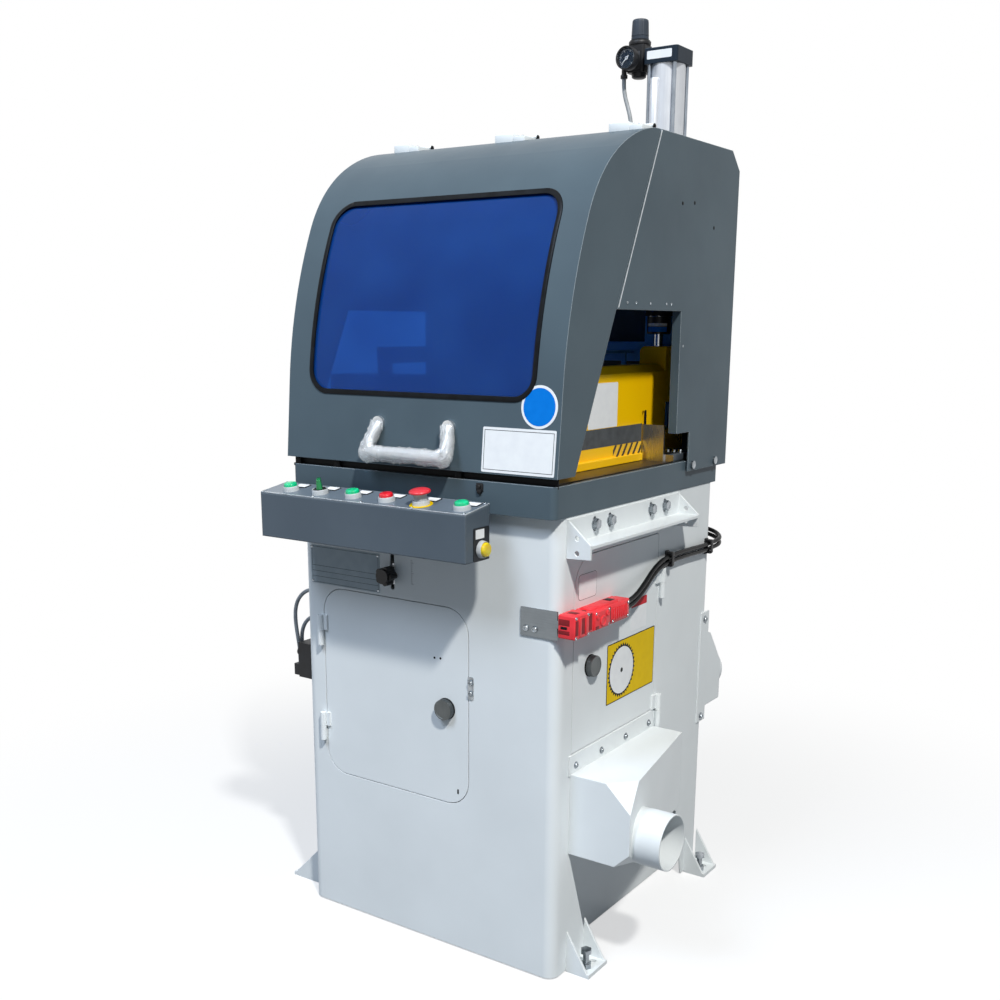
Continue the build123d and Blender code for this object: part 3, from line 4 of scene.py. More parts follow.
import bmesh
import bpy
from mathutils import Matrix, Vector, noise
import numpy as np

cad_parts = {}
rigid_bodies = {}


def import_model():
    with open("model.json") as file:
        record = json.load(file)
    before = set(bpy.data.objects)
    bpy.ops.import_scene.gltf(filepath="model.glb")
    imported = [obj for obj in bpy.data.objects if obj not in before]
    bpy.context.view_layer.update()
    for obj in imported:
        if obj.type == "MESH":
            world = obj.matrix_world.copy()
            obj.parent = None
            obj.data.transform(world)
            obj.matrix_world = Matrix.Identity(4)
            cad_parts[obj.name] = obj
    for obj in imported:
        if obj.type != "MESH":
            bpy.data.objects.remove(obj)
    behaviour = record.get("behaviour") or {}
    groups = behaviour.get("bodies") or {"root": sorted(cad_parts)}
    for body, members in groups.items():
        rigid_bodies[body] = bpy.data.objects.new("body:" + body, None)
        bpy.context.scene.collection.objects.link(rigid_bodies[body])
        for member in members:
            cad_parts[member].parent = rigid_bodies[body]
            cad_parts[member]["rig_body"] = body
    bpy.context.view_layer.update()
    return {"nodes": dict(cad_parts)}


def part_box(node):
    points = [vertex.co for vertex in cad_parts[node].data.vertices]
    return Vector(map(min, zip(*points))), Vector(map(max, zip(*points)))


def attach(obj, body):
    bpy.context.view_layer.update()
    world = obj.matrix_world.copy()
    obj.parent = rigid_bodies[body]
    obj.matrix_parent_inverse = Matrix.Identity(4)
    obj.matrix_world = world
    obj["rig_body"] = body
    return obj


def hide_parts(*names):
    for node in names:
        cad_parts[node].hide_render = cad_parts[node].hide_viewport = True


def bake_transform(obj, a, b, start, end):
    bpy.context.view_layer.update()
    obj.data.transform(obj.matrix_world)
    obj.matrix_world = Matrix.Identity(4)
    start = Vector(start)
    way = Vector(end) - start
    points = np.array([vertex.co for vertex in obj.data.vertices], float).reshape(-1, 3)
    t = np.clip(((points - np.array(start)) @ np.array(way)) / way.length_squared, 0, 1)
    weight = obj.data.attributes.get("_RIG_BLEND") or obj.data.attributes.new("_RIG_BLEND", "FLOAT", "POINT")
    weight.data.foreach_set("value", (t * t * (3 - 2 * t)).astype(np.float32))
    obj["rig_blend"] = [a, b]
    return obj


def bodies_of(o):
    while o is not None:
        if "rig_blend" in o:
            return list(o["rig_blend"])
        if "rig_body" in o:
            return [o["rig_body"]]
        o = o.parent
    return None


# Up-cut saw under a charcoal hood with a blue window, on a pale sheet-metal cabinet.
# Places and sizes below are millimetres in the part's own frame: +Z up, the operator at -Y.

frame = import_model()

MM = 0.001
X, Y, Z = Vector((1, 0, 0)), Vector((0, 1, 0)), Vector((0, 0, 1))


# Frame readings
def span(node):
    """Low and high corners of a CAD node in millimetres."""
    low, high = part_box(node)
    return low / MM, high / MM


def body_of(node):
    """The body that carries a CAD node."""
    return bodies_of(frame["nodes"][node])[0]


def hood_front(height):
    """How far forward the hood's front sheet stands at a height, in millimetres."""
    beside_window = span("window_pane")[1].x + 12
    start = Vector((beside_window, -600, height)) * MM
    hit, place, _, _ = frame["nodes"]["front_hood"].ray_cast(start, Y)
    return place.y / MM if hit else 0.0


# Modelling
def facing(origin, normal, upward=Z):
    """A placing matrix in millimetres: local Z along the normal, local Y as near upward as it can be."""
    out = Vector(normal).normalized()
    side = Vector(upward).cross(out).normalized()
    turn = Matrix((side, out.cross(side), out)).transposed().to_4x4()
    return Matrix.Translation(Vector(origin)) @ turn


def brick(bm, low, high, round_edge=0.0, steps=2):
    """A box between two corners with rounded edges."""
    verts = bmesh.ops.create_cube(bm, size=1)["verts"]
    low, high = Vector(low), Vector(high)
    bmesh.ops.scale(bm, vec=high - low, verts=verts)
    bmesh.ops.translate(bm, vec=(low + high) / 2, verts=verts)
    if round_edge:
        edges = {edge for vert in verts for edge in vert.link_edges}
        bmesh.ops.bevel(bm, geom=list(edges), offset=round_edge, segments=steps, profile=0.5,
                        affect="EDGES", material=-1)


def turned(bm, profile, origin, axis, steps=40):
    """A turned shape: a profile of (radius, height) points spun round an axis."""
    axis = Vector(axis).normalized()
    side = axis.orthogonal().normalized()
    verts = [bm.verts.new(Vector(origin) + side * radius + axis * height) for radius, height in profile]
    edges = [bm.edges.new(pair) for pair in zip(verts, verts[1:])]
    bmesh.ops.spin(bm, geom=verts + edges, cent=origin, axis=axis, angle=math.tau, steps=steps,
                   use_merge=True)


def disc(radius, low, high):
    """Profile of a flat disc between two heights."""
    return [(0, low), (radius, low), (radius, high), (0, high)]


def ring(inner, outer, low, high):
    """Profile of a plain ring between two heights."""
    return [(inner, low), (outer, low), (outer, high), (inner, high), (inner, low)]


def lift(bm, faces, way, **how):
    """Extrude faces and move the new ones a way."""
    made = bmesh.ops.extrude_face_region(bm, geom=faces, **how)
    lifted = [item for item in made["geom"] if isinstance(item, bmesh.types.BMVert)]
    bmesh.ops.translate(bm, vec=way, verts=lifted)


def rounded_panel(bm, width, height, corner, thickness, place, steps=6):
    """A flat panel with rounded corners, standing on a placing matrix."""
    start = len(bm.verts)
    verts = bmesh.ops.create_grid(bm, x_segments=1, y_segments=1, size=0.5)["verts"]
    bmesh.ops.scale(bm, vec=(width, height, 1), verts=verts)
    if corner:
        bmesh.ops.bevel(bm, geom=verts, offset=corner, segments=steps, profile=0.5, affect="VERTICES",
                        material=-1)
    bm.verts.ensure_lookup_table()
    lift(bm, [max(bm.verts[-1].link_faces, key=lambda face: face.calc_area())], (0, 0, thickness))
    bm.verts.ensure_lookup_table()
    bmesh.ops.transform(bm, matrix=place, verts=bm.verts[start:])


def screw_head(bm, origin, axis, radius, height):
    """A domed screw head with a round recess."""
    recess = 0.5 * radius
    turned(bm, [(0, 0.45 * height), (recess, 0.45 * height), (recess, 0.95 * height), (0.75 * radius, height),
                (0.96 * radius, 0.6 * height), (radius, 0)], Vector(origin), axis, steps=18)


def piece(name, bm, finish, body, stands_for=(), smooth=38):
    """Finish a mesh made in millimetres: close it, turn its faces out, give it a finish and a body."""
    bmesh.ops.remove_doubles(bm, verts=bm.verts, dist=1e-4)
    bmesh.ops.recalc_face_normals(bm, faces=bm.faces)
    bmesh.ops.scale(bm, vec=(MM, MM, MM), verts=bm.verts)
    mesh = bpy.data.meshes.new(name)
    bm.to_mesh(mesh)
    bm.free()
    mesh.shade_smooth()
    mesh.set_sharp_from_angle(angle=math.radians(smooth))
    mesh.materials.append(finish)
    made = bpy.data.objects.new(name, mesh)
    bpy.context.collection.objects.link(made)
    if body:
        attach(made, body)
    for node in stands_for:
        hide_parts(node)
    return made


def turned_piece(name, finish, body, profile, origin, axis, steps=40, **more):
    """A piece that is one turned shape."""
    bm = bmesh.new()
    turned(bm, profile, origin, axis, steps)
    piece(name, bm, finish, body, **more)


def panel_piece(name, finish, body, *shape):
    """A piece that is one rounded panel."""
    bm = bmesh.new()
    rounded_panel(bm, *shape)
    piece(name, bm, finish, body)


def side_labels(wall, body, *rows):
    """Flat labels on a wall that faces right, each with its finish, its sizes, and its y and z there."""
    for name, finish, width, height, corner, thickness, y, z in rows:
        panel_piece(name, finish, body, width, height, corner, thickness, facing((wall, y, z), X))


# Finishes. Grain, orange peel and grinding lines finer than about 1 mm are drawn that coarse, to show at all.
def colour(code):
    """Linear colour of an sRGB hex value."""
    channels = [int(code[place:place + 2], 16) / 255 for place in (1, 3, 5)]
    return [c / 12.92 if c <= 0.04045 else ((c + 0.055) / 1.055) ** 2.4 for c in channels] + [1]


def add(tree, kind, links=(), **settings):
    """Add one shader node with its settings. An input takes a value, a socket or a node's first output."""
    made = tree.nodes.new("ShaderNode" + kind)
    for name, value in settings.items():
        setattr(made, name, value)
    for name, value in dict(links).items():
        if isinstance(value, bpy.types.Node):
            value = value.outputs[0]
        if isinstance(value, bpy.types.NodeSocket):
            tree.links.new(value, made.inputs[name])
        else:
            made.inputs[name].default_value = value
    return made


def finish_of(name):
    """A new material, its empty node tree, and the object's own coordinates in it."""
    made = bpy.data.materials.new(name)
    made.use_nodes = True
    tree = made.node_tree
    tree.nodes.clear()
    return made, tree, add(tree, "TexCoord").outputs["Object"]


def shown(tree, **sockets):
    """The surface shader, with its sockets given by name, wired to the output."""
    names = {name.replace("_", " ").title().replace("Ior", "IOR"): value for name, value in sockets.items()}
    shader = add(tree, "BsdfPrincipled", names)
    add(tree, "OutputMaterial", {"Surface": shader})


def per_metre(size):
    """Texture scale that gives a pattern of a size in millimetres."""
    return 1000 / size


def shades(tree, factor, dark, light, low=0.3, high=0.7):
    """A colour ramp from one sRGB colour at low to another at high."""
    ramp = add(tree, "ValToRGB", {"Fac": factor})
    for stop, position, code in zip(ramp.color_ramp.elements, (low, high), (dark, light)):
        stop.position = position
        stop.color = colour(code)
    return ramp


def rounded_edges(tree, radius):
    """Normal that rounds sharp edges by a radius in millimetres, and a mask that is 1 along those edges."""
    rounded = add(tree, "Bevel", {"Radius": radius * MM}, samples=6)
    surface = add(tree, "NewGeometry").outputs["Normal"]
    turn = add(tree, "VectorMath", {0: rounded, 1: surface}, operation="DOT_PRODUCT")
    edge = add(tree, "MapRange", {"Value": turn.outputs["Value"], "From Min": 0.96, "From Max": 0.84})
    return rounded, edge


def clouded(name, dark, light, size, detail, rough, skin=(), **sockets):
    """A finish whose tone and gloss drift in clouds of a size in millimetres, over a skin of finer bumps."""
    made, tree, place = finish_of(name)
    clouds = add(tree, "TexNoise", {"Vector": place, "Scale": per_metre(size), "Detail": detail})
    sheen = add(tree, "MapRange", {"Value": clouds, "To Min": rough[0], "To Max": rough[1]})
    if skin:
        grain, strength, depth = skin
        bumps = add(tree, "TexNoise", {"Vector": place, "Scale": per_metre(grain), "Detail": 2.0})
        bump = add(tree, "Bump", {"Height": bumps, "Strength": strength, "Distance": depth * MM})
        sockets["normal"] = bump
    shown(tree, base_color=shades(tree, clouds, dark, light), roughness=sheen, **sockets)
    return made


def moulded_plastic(name, dark, light, rough=0.35, gloss=0.3):
    """Injection-moulded plastic: spark-eroded grain, an even sheen and slightly uneven colour."""
    return clouded(name, dark, light, 25, 3.0, (rough - 0.05, rough + 0.08), (0.9, 0.12, 0.2),
                   specular_ior_level=gloss)


def soft_rubber(name, dark, light, rough=0.6):
    """Rubber or soft vinyl: matt, dusty, with a fine pebbled skin."""
    return clouded(name, dark, light, 20, 5.0, (rough - 0.12, rough + 0.1), (1.2, 0.15, 0.3), ior=1.2)


def plated_metal(name, dark, light, rough):
    """Zinc or chrome plate: bright, with faint clouds and fingerprints in its gloss."""
    return clouded(name, dark, light, 14, 5.0, (rough - 0.06, rough + 0.10), metallic=1.0)


def printed_vinyl(name, dark, light):
    """Sticker or printed plate: even colour under a clear glossy layer, slightly soiled."""
    return clouded(name, dark, light, 18, 5.0, (0.26, 0.34), ior=1.12)


def powder_coat(name, dark, light, edge, rough=(0.34, 0.48), fold=1.6, shine=1.45):
    """Powder coat on steel sheet: orange peel, faint clouds in sheen and tone, and painted highlight on folds
    and edges.
    """
    made, tree, place = finish_of(name)
    clouds = add(tree, "TexNoise", {"Vector": place, "Scale": per_metre(190), "Detail": 3.0})
    wipes = add(tree, "TexNoise", {"Vector": place, "Scale": per_metre(60), "Detail": 5.0, "Roughness": 0.6})
    skin = add(tree, "TexNoise", {"Vector": place, "Scale": per_metre(1.8), "Detail": 1.0})
    specks = add(tree, "TexVoronoi", {"Vector": place, "Scale": per_metre(9)})
    sheen = add(tree, "MapRange", {"Value": wipes, "To Min": rough[0], "To Max": rough[1]})
    height = add(tree, "Math", {0: skin, 1: specks}, operation="ADD")
    rounded, edge_highlight_mask = rounded_edges(tree, fold)
    bump = add(tree, "Bump", {"Height": height, "Strength": 0.10, "Distance": 0.0003, "Normal": rounded})
    coat = shades(tree, clouds, dark, light)
    # The edge colour, laid on by the mask along folds and edges, is a painted highlight.
    paint = add(tree, "MixRGB", {"Fac": edge_highlight_mask, "Color1": coat, "Color2": colour(edge)})
    shown(tree, base_color=paint, roughness=sheen, normal=bump, ior=shine)
    return made


def drawn_metal(name, dark, light, rough, along, spacing=0.8, metal=1.0):
    """Drawn, rolled or brushed metal: fine lines along its length and cloudy brightness."""
    made, tree, place = finish_of(name)
    stretch = [0.02 if axis == along else 1.0 for axis in "XYZ"]
    lined = add(tree, "Mapping", {"Vector": place, "Scale": stretch})
    lines = add(tree, "TexNoise", {"Vector": lined, "Scale": per_metre(spacing), "Detail": 3.0})
    clouds = add(tree, "TexNoise", {"Vector": place, "Scale": per_metre(30), "Detail": 4.0})
    both = add(tree, "Math", {0: lines, 1: clouds, 2: 0.15}, operation="MULTIPLY_ADD")
    sheen = add(tree, "MapRange", {"Value": lines, "To Min": rough - 0.08, "To Max": rough + 0.10})
    bump = add(tree, "Bump", {"Height": lines, "Strength": 0.08, "Distance": 0.0002})
    shown(tree, base_color=shades(tree, both, dark, light, low=0.2, high=0.6), metallic=metal,
          roughness=sheen, normal=bump)
    return made


def cast_iron_ground():
    """Ground cast iron: grey, crossed by fine grinding lines, with darker oil stains."""
    made, tree, place = finish_of("ground_cast_iron")
    lined = add(tree, "Mapping", {"Vector": place, "Scale": (1, 0.03, 1)})
    lines = add(tree, "TexNoise", {"Vector": lined, "Scale": per_metre(1.2), "Detail": 3.0})
    stains = add(tree, "TexNoise", {"Vector": place, "Scale": per_metre(70), "Detail": 5.0})
    sheen = add(tree, "MapRange", {"Value": stains, "To Min": 0.25, "To Max": 0.5})
    bump = add(tree, "Bump", {"Height": lines, "Strength": 0.1, "Distance": 0.0002})
    shown(tree, base_color=shades(tree, stains, "#514840", "#776d62"), metallic=1.0,
          roughness=sheen, normal=bump)
    return made


def tinted_polycarbonate():
    """Blue polycarbonate sheet: see-through, glossy, with a faint extruded ripple and dust."""
    made, tree, place = finish_of("tinted_polycarbonate")
    ripple = add(tree, "TexNoise", {"Vector": place, "Scale": per_metre(120), "Detail": 1.0})
    dust = add(tree, "TexNoise", {"Vector": place, "Scale": per_metre(60), "Detail": 2.0})
    sheen = add(tree, "MapRange", {"Value": dust, "To Min": 0.03, "To Max": 0.06})
    bump = add(tree, "Bump", {"Height": ripple, "Strength": 0.05, "Distance": 0.002})
    shown(tree, base_color=shades(tree, ripple, "#134a9c", "#1c55a8"), roughness=sheen,
          normal=bump, ior=1.22, transmission_weight=0.55)
    return made


def clear_film():
    """Crumpled protective film: thin milky plastic with soft folds and glints along its creases."""
    made, tree, place = finish_of("clear_film")
    creases = add(tree, "TexVoronoi", {"Vector": place, "Scale": per_metre(22)}, feature="DISTANCE_TO_EDGE")
    crumple = add(tree, "TexNoise", {"Vector": place, "Scale": per_metre(24), "Detail": 3.0,
                                     "Distortion": 0.6})
    height = add(tree, "Math", {0: creases, 1: crumple}, operation="ADD")
    bump = add(tree, "Bump", {"Height": height, "Strength": 0.30, "Distance": 0.002})
    shown(tree, base_color=shades(tree, crumple, "#eef1f3", "#fbfcfd"), roughness=0.14,
          normal=bump, transmission_weight=0.75, ior=1.25)
    return made


def gauge_glass():
    """Clear moulded lens of the gauge: glossy, with fine wiping marks."""
    made, tree, place = finish_of("gauge_glass")
    wipes = add(tree, "TexNoise", {"Vector": place, "Scale": per_metre(6), "Detail": 5.0})
    sheen = add(tree, "MapRange", {"Value": wipes, "To Min": 0.01, "To Max": 0.07})
    shown(tree, base_color=colour("#f4f7fa"), roughness=sheen, transmission_weight=1.0, ior=1.15)
    return made


def lamp_cap(name, dark, light):
    """Glossy coloured lens cap of an illuminated button: deep colour with a soft glow from inside."""
    made, tree, place = finish_of(name)
    facets = add(tree, "TexVoronoi", {"Vector": place, "Scale": per_metre(1.6)})
    clouds = add(tree, "TexNoise", {"Vector": place, "Scale": per_metre(10), "Detail": 2.0})
    bump = add(tree, "Bump", {"Height": facets, "Strength": 0.08, "Distance": 0.0003})
    shown(tree, base_color=shades(tree, clouds, dark, light), roughness=0.16,
          normal=bump, subsurface_weight=0.25, subsurface_scale=0.004)
    return made


def hazard_vinyl():
    """Printed vinyl: slanting black bars on yellow, 17.5 mm apart, with a soft sheen."""
    made, tree, place = finish_of("hazard_vinyl")
    slanted = add(tree, "Mapping", {"Vector": place, "Rotation": (math.radians(38), 0, 0)})
    axes = add(tree, "SeparateXYZ", {"Vector": slanted})
    steps = add(tree, "Math", {0: axes.outputs["Y"], 1: per_metre(17.5)}, operation="MULTIPLY")
    share = add(tree, "Math", {0: steps}, operation="FRACT")
    scuffs = add(tree, "TexNoise", {"Vector": place, "Scale": per_metre(6), "Detail": 4.0})
    sheen = add(tree, "MapRange", {"Value": scuffs, "To Min": 0.25, "To Max": 0.45})
    bars = shades(tree, share, "#f4c20a", "#17140f", low=0.60, high=0.62)
    shown(tree, base_color=bars, roughness=sheen)
    return made


# The last colour of each coat is a paler painted highlight along its folds and edges.
pale_coat = powder_coat("pale_grey_powder_coat", "#dfe4e6", "#e6ebed", "#f2f5f6")
charcoal_coat = powder_coat("charcoal_powder_coat", "#4b5962", "#52616a", "#a3adb4", (0.30, 0.44), 2.0, 1.2)
box_coat = powder_coat("charcoal_box_coat", "#4b5660", "#535e68", "#5f6a73", (0.30, 0.42), 5, 1.3)
# The lid is the box's charcoal, painted lighter for the light on its upward face.
lid_coat = powder_coat("charcoal_lid_coat", "#606b76", "#6b7681", "#f1f4f6", (0.24, 0.36), 2.2)
yellow_coat = powder_coat("yellow_powder_coat", "#ffc400", "#ffcc05", "#ffda48", (0.28, 0.4), shine=1.25)
blue_coat = powder_coat("sky_blue_enamel", "#4f9fe6", "#5fadf0", "#8fcbfa", (0.3, 0.42))
motor_coat = powder_coat("motor_enamel", "#3a4046", "#444b52", "#6a727a")
cap_coat = powder_coat("blue_black_enamel", "#1d2731", "#26313d", "#5d6b7a", (0.3, 0.42), shine=1.2)
polycarbonate = tinted_polycarbonate()
film = clear_film()
ground_iron = cast_iron_ground()
stainless = drawn_metal("brushed_stainless", "#b3b2ae", "#c6c5c2", 0.28, "Z")
turned_steel = drawn_metal("turned_steel", "#8d8f92", "#b6b8ba", 0.32, "Y", spacing=0.6)
anodised = drawn_metal("anodised_aluminium_tube", "#c2c5cb", "#d3d6da", 0.36, "Z", spacing=1.4, metal=0.45)
rod_steel = drawn_metal("drawn_tie_rod_steel", "#7f8893", "#a7afb8", 0.24, "Z")
satin_aluminium = drawn_metal("satin_aluminium", "#d2d5d8", "#e6e8ea", 0.36, "X")
dull_steel = drawn_metal("rolled_steel_plate", "#73797d", "#868c90", 0.46, "X")
zinc = plated_metal("zinc_plate", "#7c8287", "#adb3b8", 0.24)
burnished = drawn_metal("burnished_steel", "#515556", "#676b6c", 0.38, "Z")
chrome = plated_metal("satin_chrome", "#a9acb0", "#cfd2d5", 0.22)
blade_steel = drawn_metal("ground_blade_steel", "#a3a5a7", "#c8cacc", 0.24, "Y")
black_plastic = moulded_plastic("black_glass_filled_nylon", "#121315", "#1b1c1f", 0.42)
red_plastic = moulded_plastic("red_switch_plastic", "#e2303a", "#ee3d45", 0.38)
# Dark red for the painted shade in the switch's recesses.
recess_shade_red = moulded_plastic("red_plastic_painted_recess_shade", "#6c0f16", "#841820", 0.5)
black_rubber = soft_rubber("black_rubber", "#0f1011", "#1b1c1e")
cable_vinyl = soft_rubber("black_cable_vinyl", "#08090a", "#0f1011", 0.26)
gasket_rubber = soft_rubber("extruded_gasket_rubber", "#0a0c0f", "#14171b", 0.34)
hose_vinyl = soft_rubber("grey_air_hose", "#8a8d8f", "#a2a5a7", 0.36)
green_cap = lamp_cap("green_lens", "#06b478", "#12cf90")
red_cap = lamp_cap("red_lens", "#d31424", "#e82334")
amber_cap = lamp_cap("amber_lens", "#d9bd06", "#ead21a")
white_vinyl = printed_vinyl("white_vinyl", "#eceef0", "#f2f4f5")
yellow_vinyl = printed_vinyl("yellow_vinyl", "#e3bd00", "#e9c404")
blue_vinyl = printed_vinyl("blue_vinyl", "#0a76d6", "#0f7ddd")
grey_vinyl = printed_vinyl("grey_vinyl", "#4a4d50", "#565a5d")
# Black vinyl for print, and for patches of painted shade over slots and holes.
dark_print_and_shade = printed_vinyl("black_print_and_painted_shade_vinyl", "#17181a", "#222427")
rating_plate = printed_vinyl("etched_aluminium_plate", "#b9c3c9", "#c3ccd1")
red_vinyl = printed_vinyl("red_vinyl", "#c0252e", "#cf303a")
dial_blue = printed_vinyl("slate_dial", "#26323f", "#2e3b4a")
# Bright plated metal for the strips of painted highlight on the lid's folds and the hood's seam.
highlight_strip_metal = plated_metal("painted_highlight_strip_metal", "#c3cacf", "#e4e9ec", 0.35)
satin_zinc = moulded_plastic("satin_die_cast_zinc", "#b9bdbf", "#c9cdcf", 0.34)
red_mushroom = moulded_plastic("red_polyamide", "#d22a36", "#e03742", 0.30, gloss=0.5)
blue_black_plastic = moulded_plastic("blue_black_acetal", "#262e38", "#303945", 0.40)
green_glow = lamp_cap("green_acrylic", "#07703c", "#0b8a4a")
stripes = hazard_vinyl()
lens_glass = gauge_glass()

# Finish of every CAD node, also of those that a finer piece below stands for
CARRIED = {
    pale_coat: ["cabinet_shell", "front_door", "side_door", "roller_bracket", "foot_brackets", "chip_chute",
                "rear_chute", "hinge_bases"],
    charcoal_coat: ["front_hood", "rear_hood", "bench_tray"],
    box_coat: ["control_box"],
    lid_coat: ["control_lid"],
    polycarbonate: ["window_pane"],
    satin_aluminium: ["hood_handle"],
    ground_iron: ["saw_table", "arbor_pulley", "motor_pulley"],
    stainless: ["fence"],
    zinc: ["hex_bolts", "stop_slider"],
    chrome: ["button_bezels", "clamp_rod"],
    rod_steel: ["tie_rods"],
    burnished: ["front_latch", "side_latch"],
    green_cap: ["button_green_left", "button_green_mid", "button_green_right", "selector_lever"],
    red_cap: ["button_red", "estop_head"],
    amber_cap: ["button_yellow"],
    black_plastic: ["hand_knob", "regulator_knob", "regulator_body", "pressure_gauge", "air_service_unit"],
    red_plastic: ["safety_switch"],
    dull_steel: ["switch_key"],
    cable_vinyl: ["switch_cables"],
    hose_vinyl: ["regulator_hose", "service_hoses"],
    blue_coat: ["saw_frame", "swing_arm", "clamp_bridge"],
    yellow_coat: ["clamp_guard"],
    motor_coat: ["motor"],
    turned_steel: ["pivot_shaft", "arbor", "arbor_bearings", "blade_flange", "lift_rod"],
    black_rubber: ["drive_belt"],
    blade_steel: ["saw_blade"],
    anodised: ["lift_cylinder", "clamp_cylinder"],
    cap_coat: ["cylinder_caps"],
    white_vinyl: ["gauge_needle"],
}
for finish, nodes in CARRIED.items():
    for node in nodes:
        mesh = frame["nodes"][node].data
        mesh.materials.clear()
        mesh.materials.append(finish)

# Cords
CABLE_ROUTE = [
    (322, -118, 694), (322, -92, 694), (319.5, -60, 700), (315.5, -22, 713), (311, 20, 732), (308.5, 62, 744),
    (308, 110, 747), (308.4, 158, 747.5), (308, 206, 746), (308.4, 252, 744.5), (307.7, 302, 745),
    (308, 337, 747), (297, 360, 751), (277.5, 375, 756), (253, 381, 760), (228.5, 375, 764), (209, 360, 767),
    (198, 337, 768), (198, 314, 768),
]
HOSE_ROUTES = {
    "regulator_air_hose": [
        (116, 203, 1668), (116, 203, 1652), (119.5, 203, 1632), (127, 202.5, 1612), (134.5, 199.4, 1592),
        (140.6, 193.4, 1572), (144, 188, 1555), (145, 186, 1541), (145, 186, 1533)],
    "service_air_hose_long": [
        (-300, -271, 664), (-318, -271, 664), (-338.4, -271.5, 655.8), (-355.4, -272, 638.8),
        (-364.4, -272, 616.5), (-365.4, -271.5, 588.5), (-361.2, -271, 558.8), (-356, -271, 529.3),
        (-356, -271, 502)],
    "service_air_hose_short": [
        (-300, -261, 606), (-318, -261, 606), (-336.5, -260.5, 598.5), (-350.9, -260, 584.6),
        (-359, -260, 566.3), (-359.8, -260.5, 544.3), (-356.7, -261, 522.5), (-356.7, -261, 502)],
}
HOSE_NODES = dict(zip(HOSE_ROUTES, ("regulator_hose", "service_hoses", "service_hoses")))
CABLE_WIDTH, CABLE_PITCH, HOSE_WIDTH = 9, 11, 8
# The cables bend with the side door between these two points, close to its hinge
BEND_START, BEND_END = (0.308, 0.088, 0.745), (0.308, 0.052, 0.745)


def smooth_line(name, route, smoothness):
    """A carrier of the smooth line that a route's points steer."""
    line = bpy.data.curves.new(name, "CURVE")
    line.dimensions = "3D"
    line.resolution_u = smoothness
    spline = line.splines.new("NURBS")
    spline.points.add(len(route) - 1)
    for point, place in zip(spline.points, route):
        point.co = (*(Vector(place) * MM), 1)
    spline.order_u = 3
    spline.use_endpoint_u = True
    return bpy.data.objects.new(name + "_line", line)


def tube_along(carrier, radius, roundness):
    """A round tube along a carrier's line, in millimetres. The carrier goes."""
    carrier.data.bevel_depth = radius * MM
    carrier.data.bevel_resolution = roundness
    mesh = bpy.data.meshes.new_from_object(carrier)
    bpy.data.objects.remove(carrier)
    bm = bmesh.new()
    bm.from_mesh(mesh)
    bmesh.ops.scale(bm, vec=(1 / MM,) * 3, verts=bm.verts)
    return bm


def laid_tube(name, route, width, finish, body, node):
    """A cable or hose: a round tube with closed ends along its smooth line."""
    carrier = smooth_line(name, route, smoothness=6)
    path = [vert.co.copy() for vert in bpy.data.meshes.new_from_object(carrier).vertices]
    carrier.data.use_fill_caps = True
    made = piece(name, tube_along(carrier, width / 2, roundness=5), finish, body, [node])
    return made


for name, drop in (("switch_cable_upper", 0), ("switch_cable_lower", CABLE_PITCH)):
    route = [(x, y, z - drop) for x, y, z in CABLE_ROUTE]
    cable = laid_tube(name, route, CABLE_WIDTH, cable_vinyl, None, "switch_cables")
    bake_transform(cable, "machine", "side_door", start=BEND_START, end=BEND_END)
for name, route in HOSE_ROUTES.items():
    laid_tube(name, route, HOSE_WIDTH, hose_vinyl, "machine", HOSE_NODES[name])

# Hood trim
WINDOW_MIDDLE = 1241.5
WINDOW_SIZE = (510, 349)
WINDOW_CORNER = 45
GASKET_OUT, GASKET_IN, GASKET_PROUD = 1.0, 8, 3.6
SEAM = ((-277, 941), (-5, 1529))
OPENING_TOP = 1220
HOOD_SIDE = 308
HOOD_FOOT = ((-335, 943), (-322, 1090))
HOOD_HINGES = [(-262, -202), (-17, 49), (228, 294)]
HOOD_AXIS = (-5, 1536.5)
FILM_ROUTE = [
    (-79, -334.5, 1021), (-82, -338, 1005), (-88, -347, 986), (-95, -358.5, 963), (-70, -357, 967),
    (-25, -357, 967.5), (25, -357, 967.5), (70, -357, 967), (95, -358.5, 963), (88, -347, 986),
    (82, -338, 1005), (79, -334.5, 1021),
]
FILM_RADIUS = 11.4


def window_gasket():
    """Black rubber channel pressed over the edge of the window opening, following the hood's curve."""
    bm = bmesh.new()
    verts = bmesh.ops.create_grid(bm, x_segments=1, y_segments=1, size=0.5)["verts"]
    size = [side + 2 * GASKET_OUT for side in WINDOW_SIZE]
    bmesh.ops.scale(bm, vec=(*size, 1), verts=verts)
    bmesh.ops.bevel(bm, geom=verts, offset=WINDOW_CORNER + GASKET_OUT, segments=12, profile=0.5,
                    affect="VERTICES", material=-1)
    channel = bmesh.ops.inset_region(bm, faces=list(bm.faces), thickness=GASKET_OUT + GASKET_IN,
                                     use_boundary=True, use_even_offset=True)["faces"]
    inside = [face for face in bm.faces if face not in channel]
    bmesh.ops.delete(bm, geom=inside, context="FACES")
    upright = [edge for edge in bm.edges if edge.calc_length() > 100]
    bmesh.ops.subdivide_edges(bm, edges=upright, cuts=24, use_grid_fill=True)
    for vert in bm.verts:
        height = vert.co.y + WINDOW_MIDDLE
        vert.co = Vector((vert.co.x, hood_front(height) + 1.5, height))
    lift(bm, list(bm.faces), (0, -GASKET_PROUD, 0), use_keep_orig=True)
    bmesh.ops.recalc_face_normals(bm, faces=bm.faces)
    rims = [edge for edge in bm.edges if len(edge.link_faces) == 2 and edge.calc_face_angle() > 1]
    bmesh.ops.bevel(bm, geom=rims, offset=1.2, segments=2, profile=0.5, affect="EDGES", material=-1)
    piece("window_gasket", bm, gasket_rubber, "front_hood")


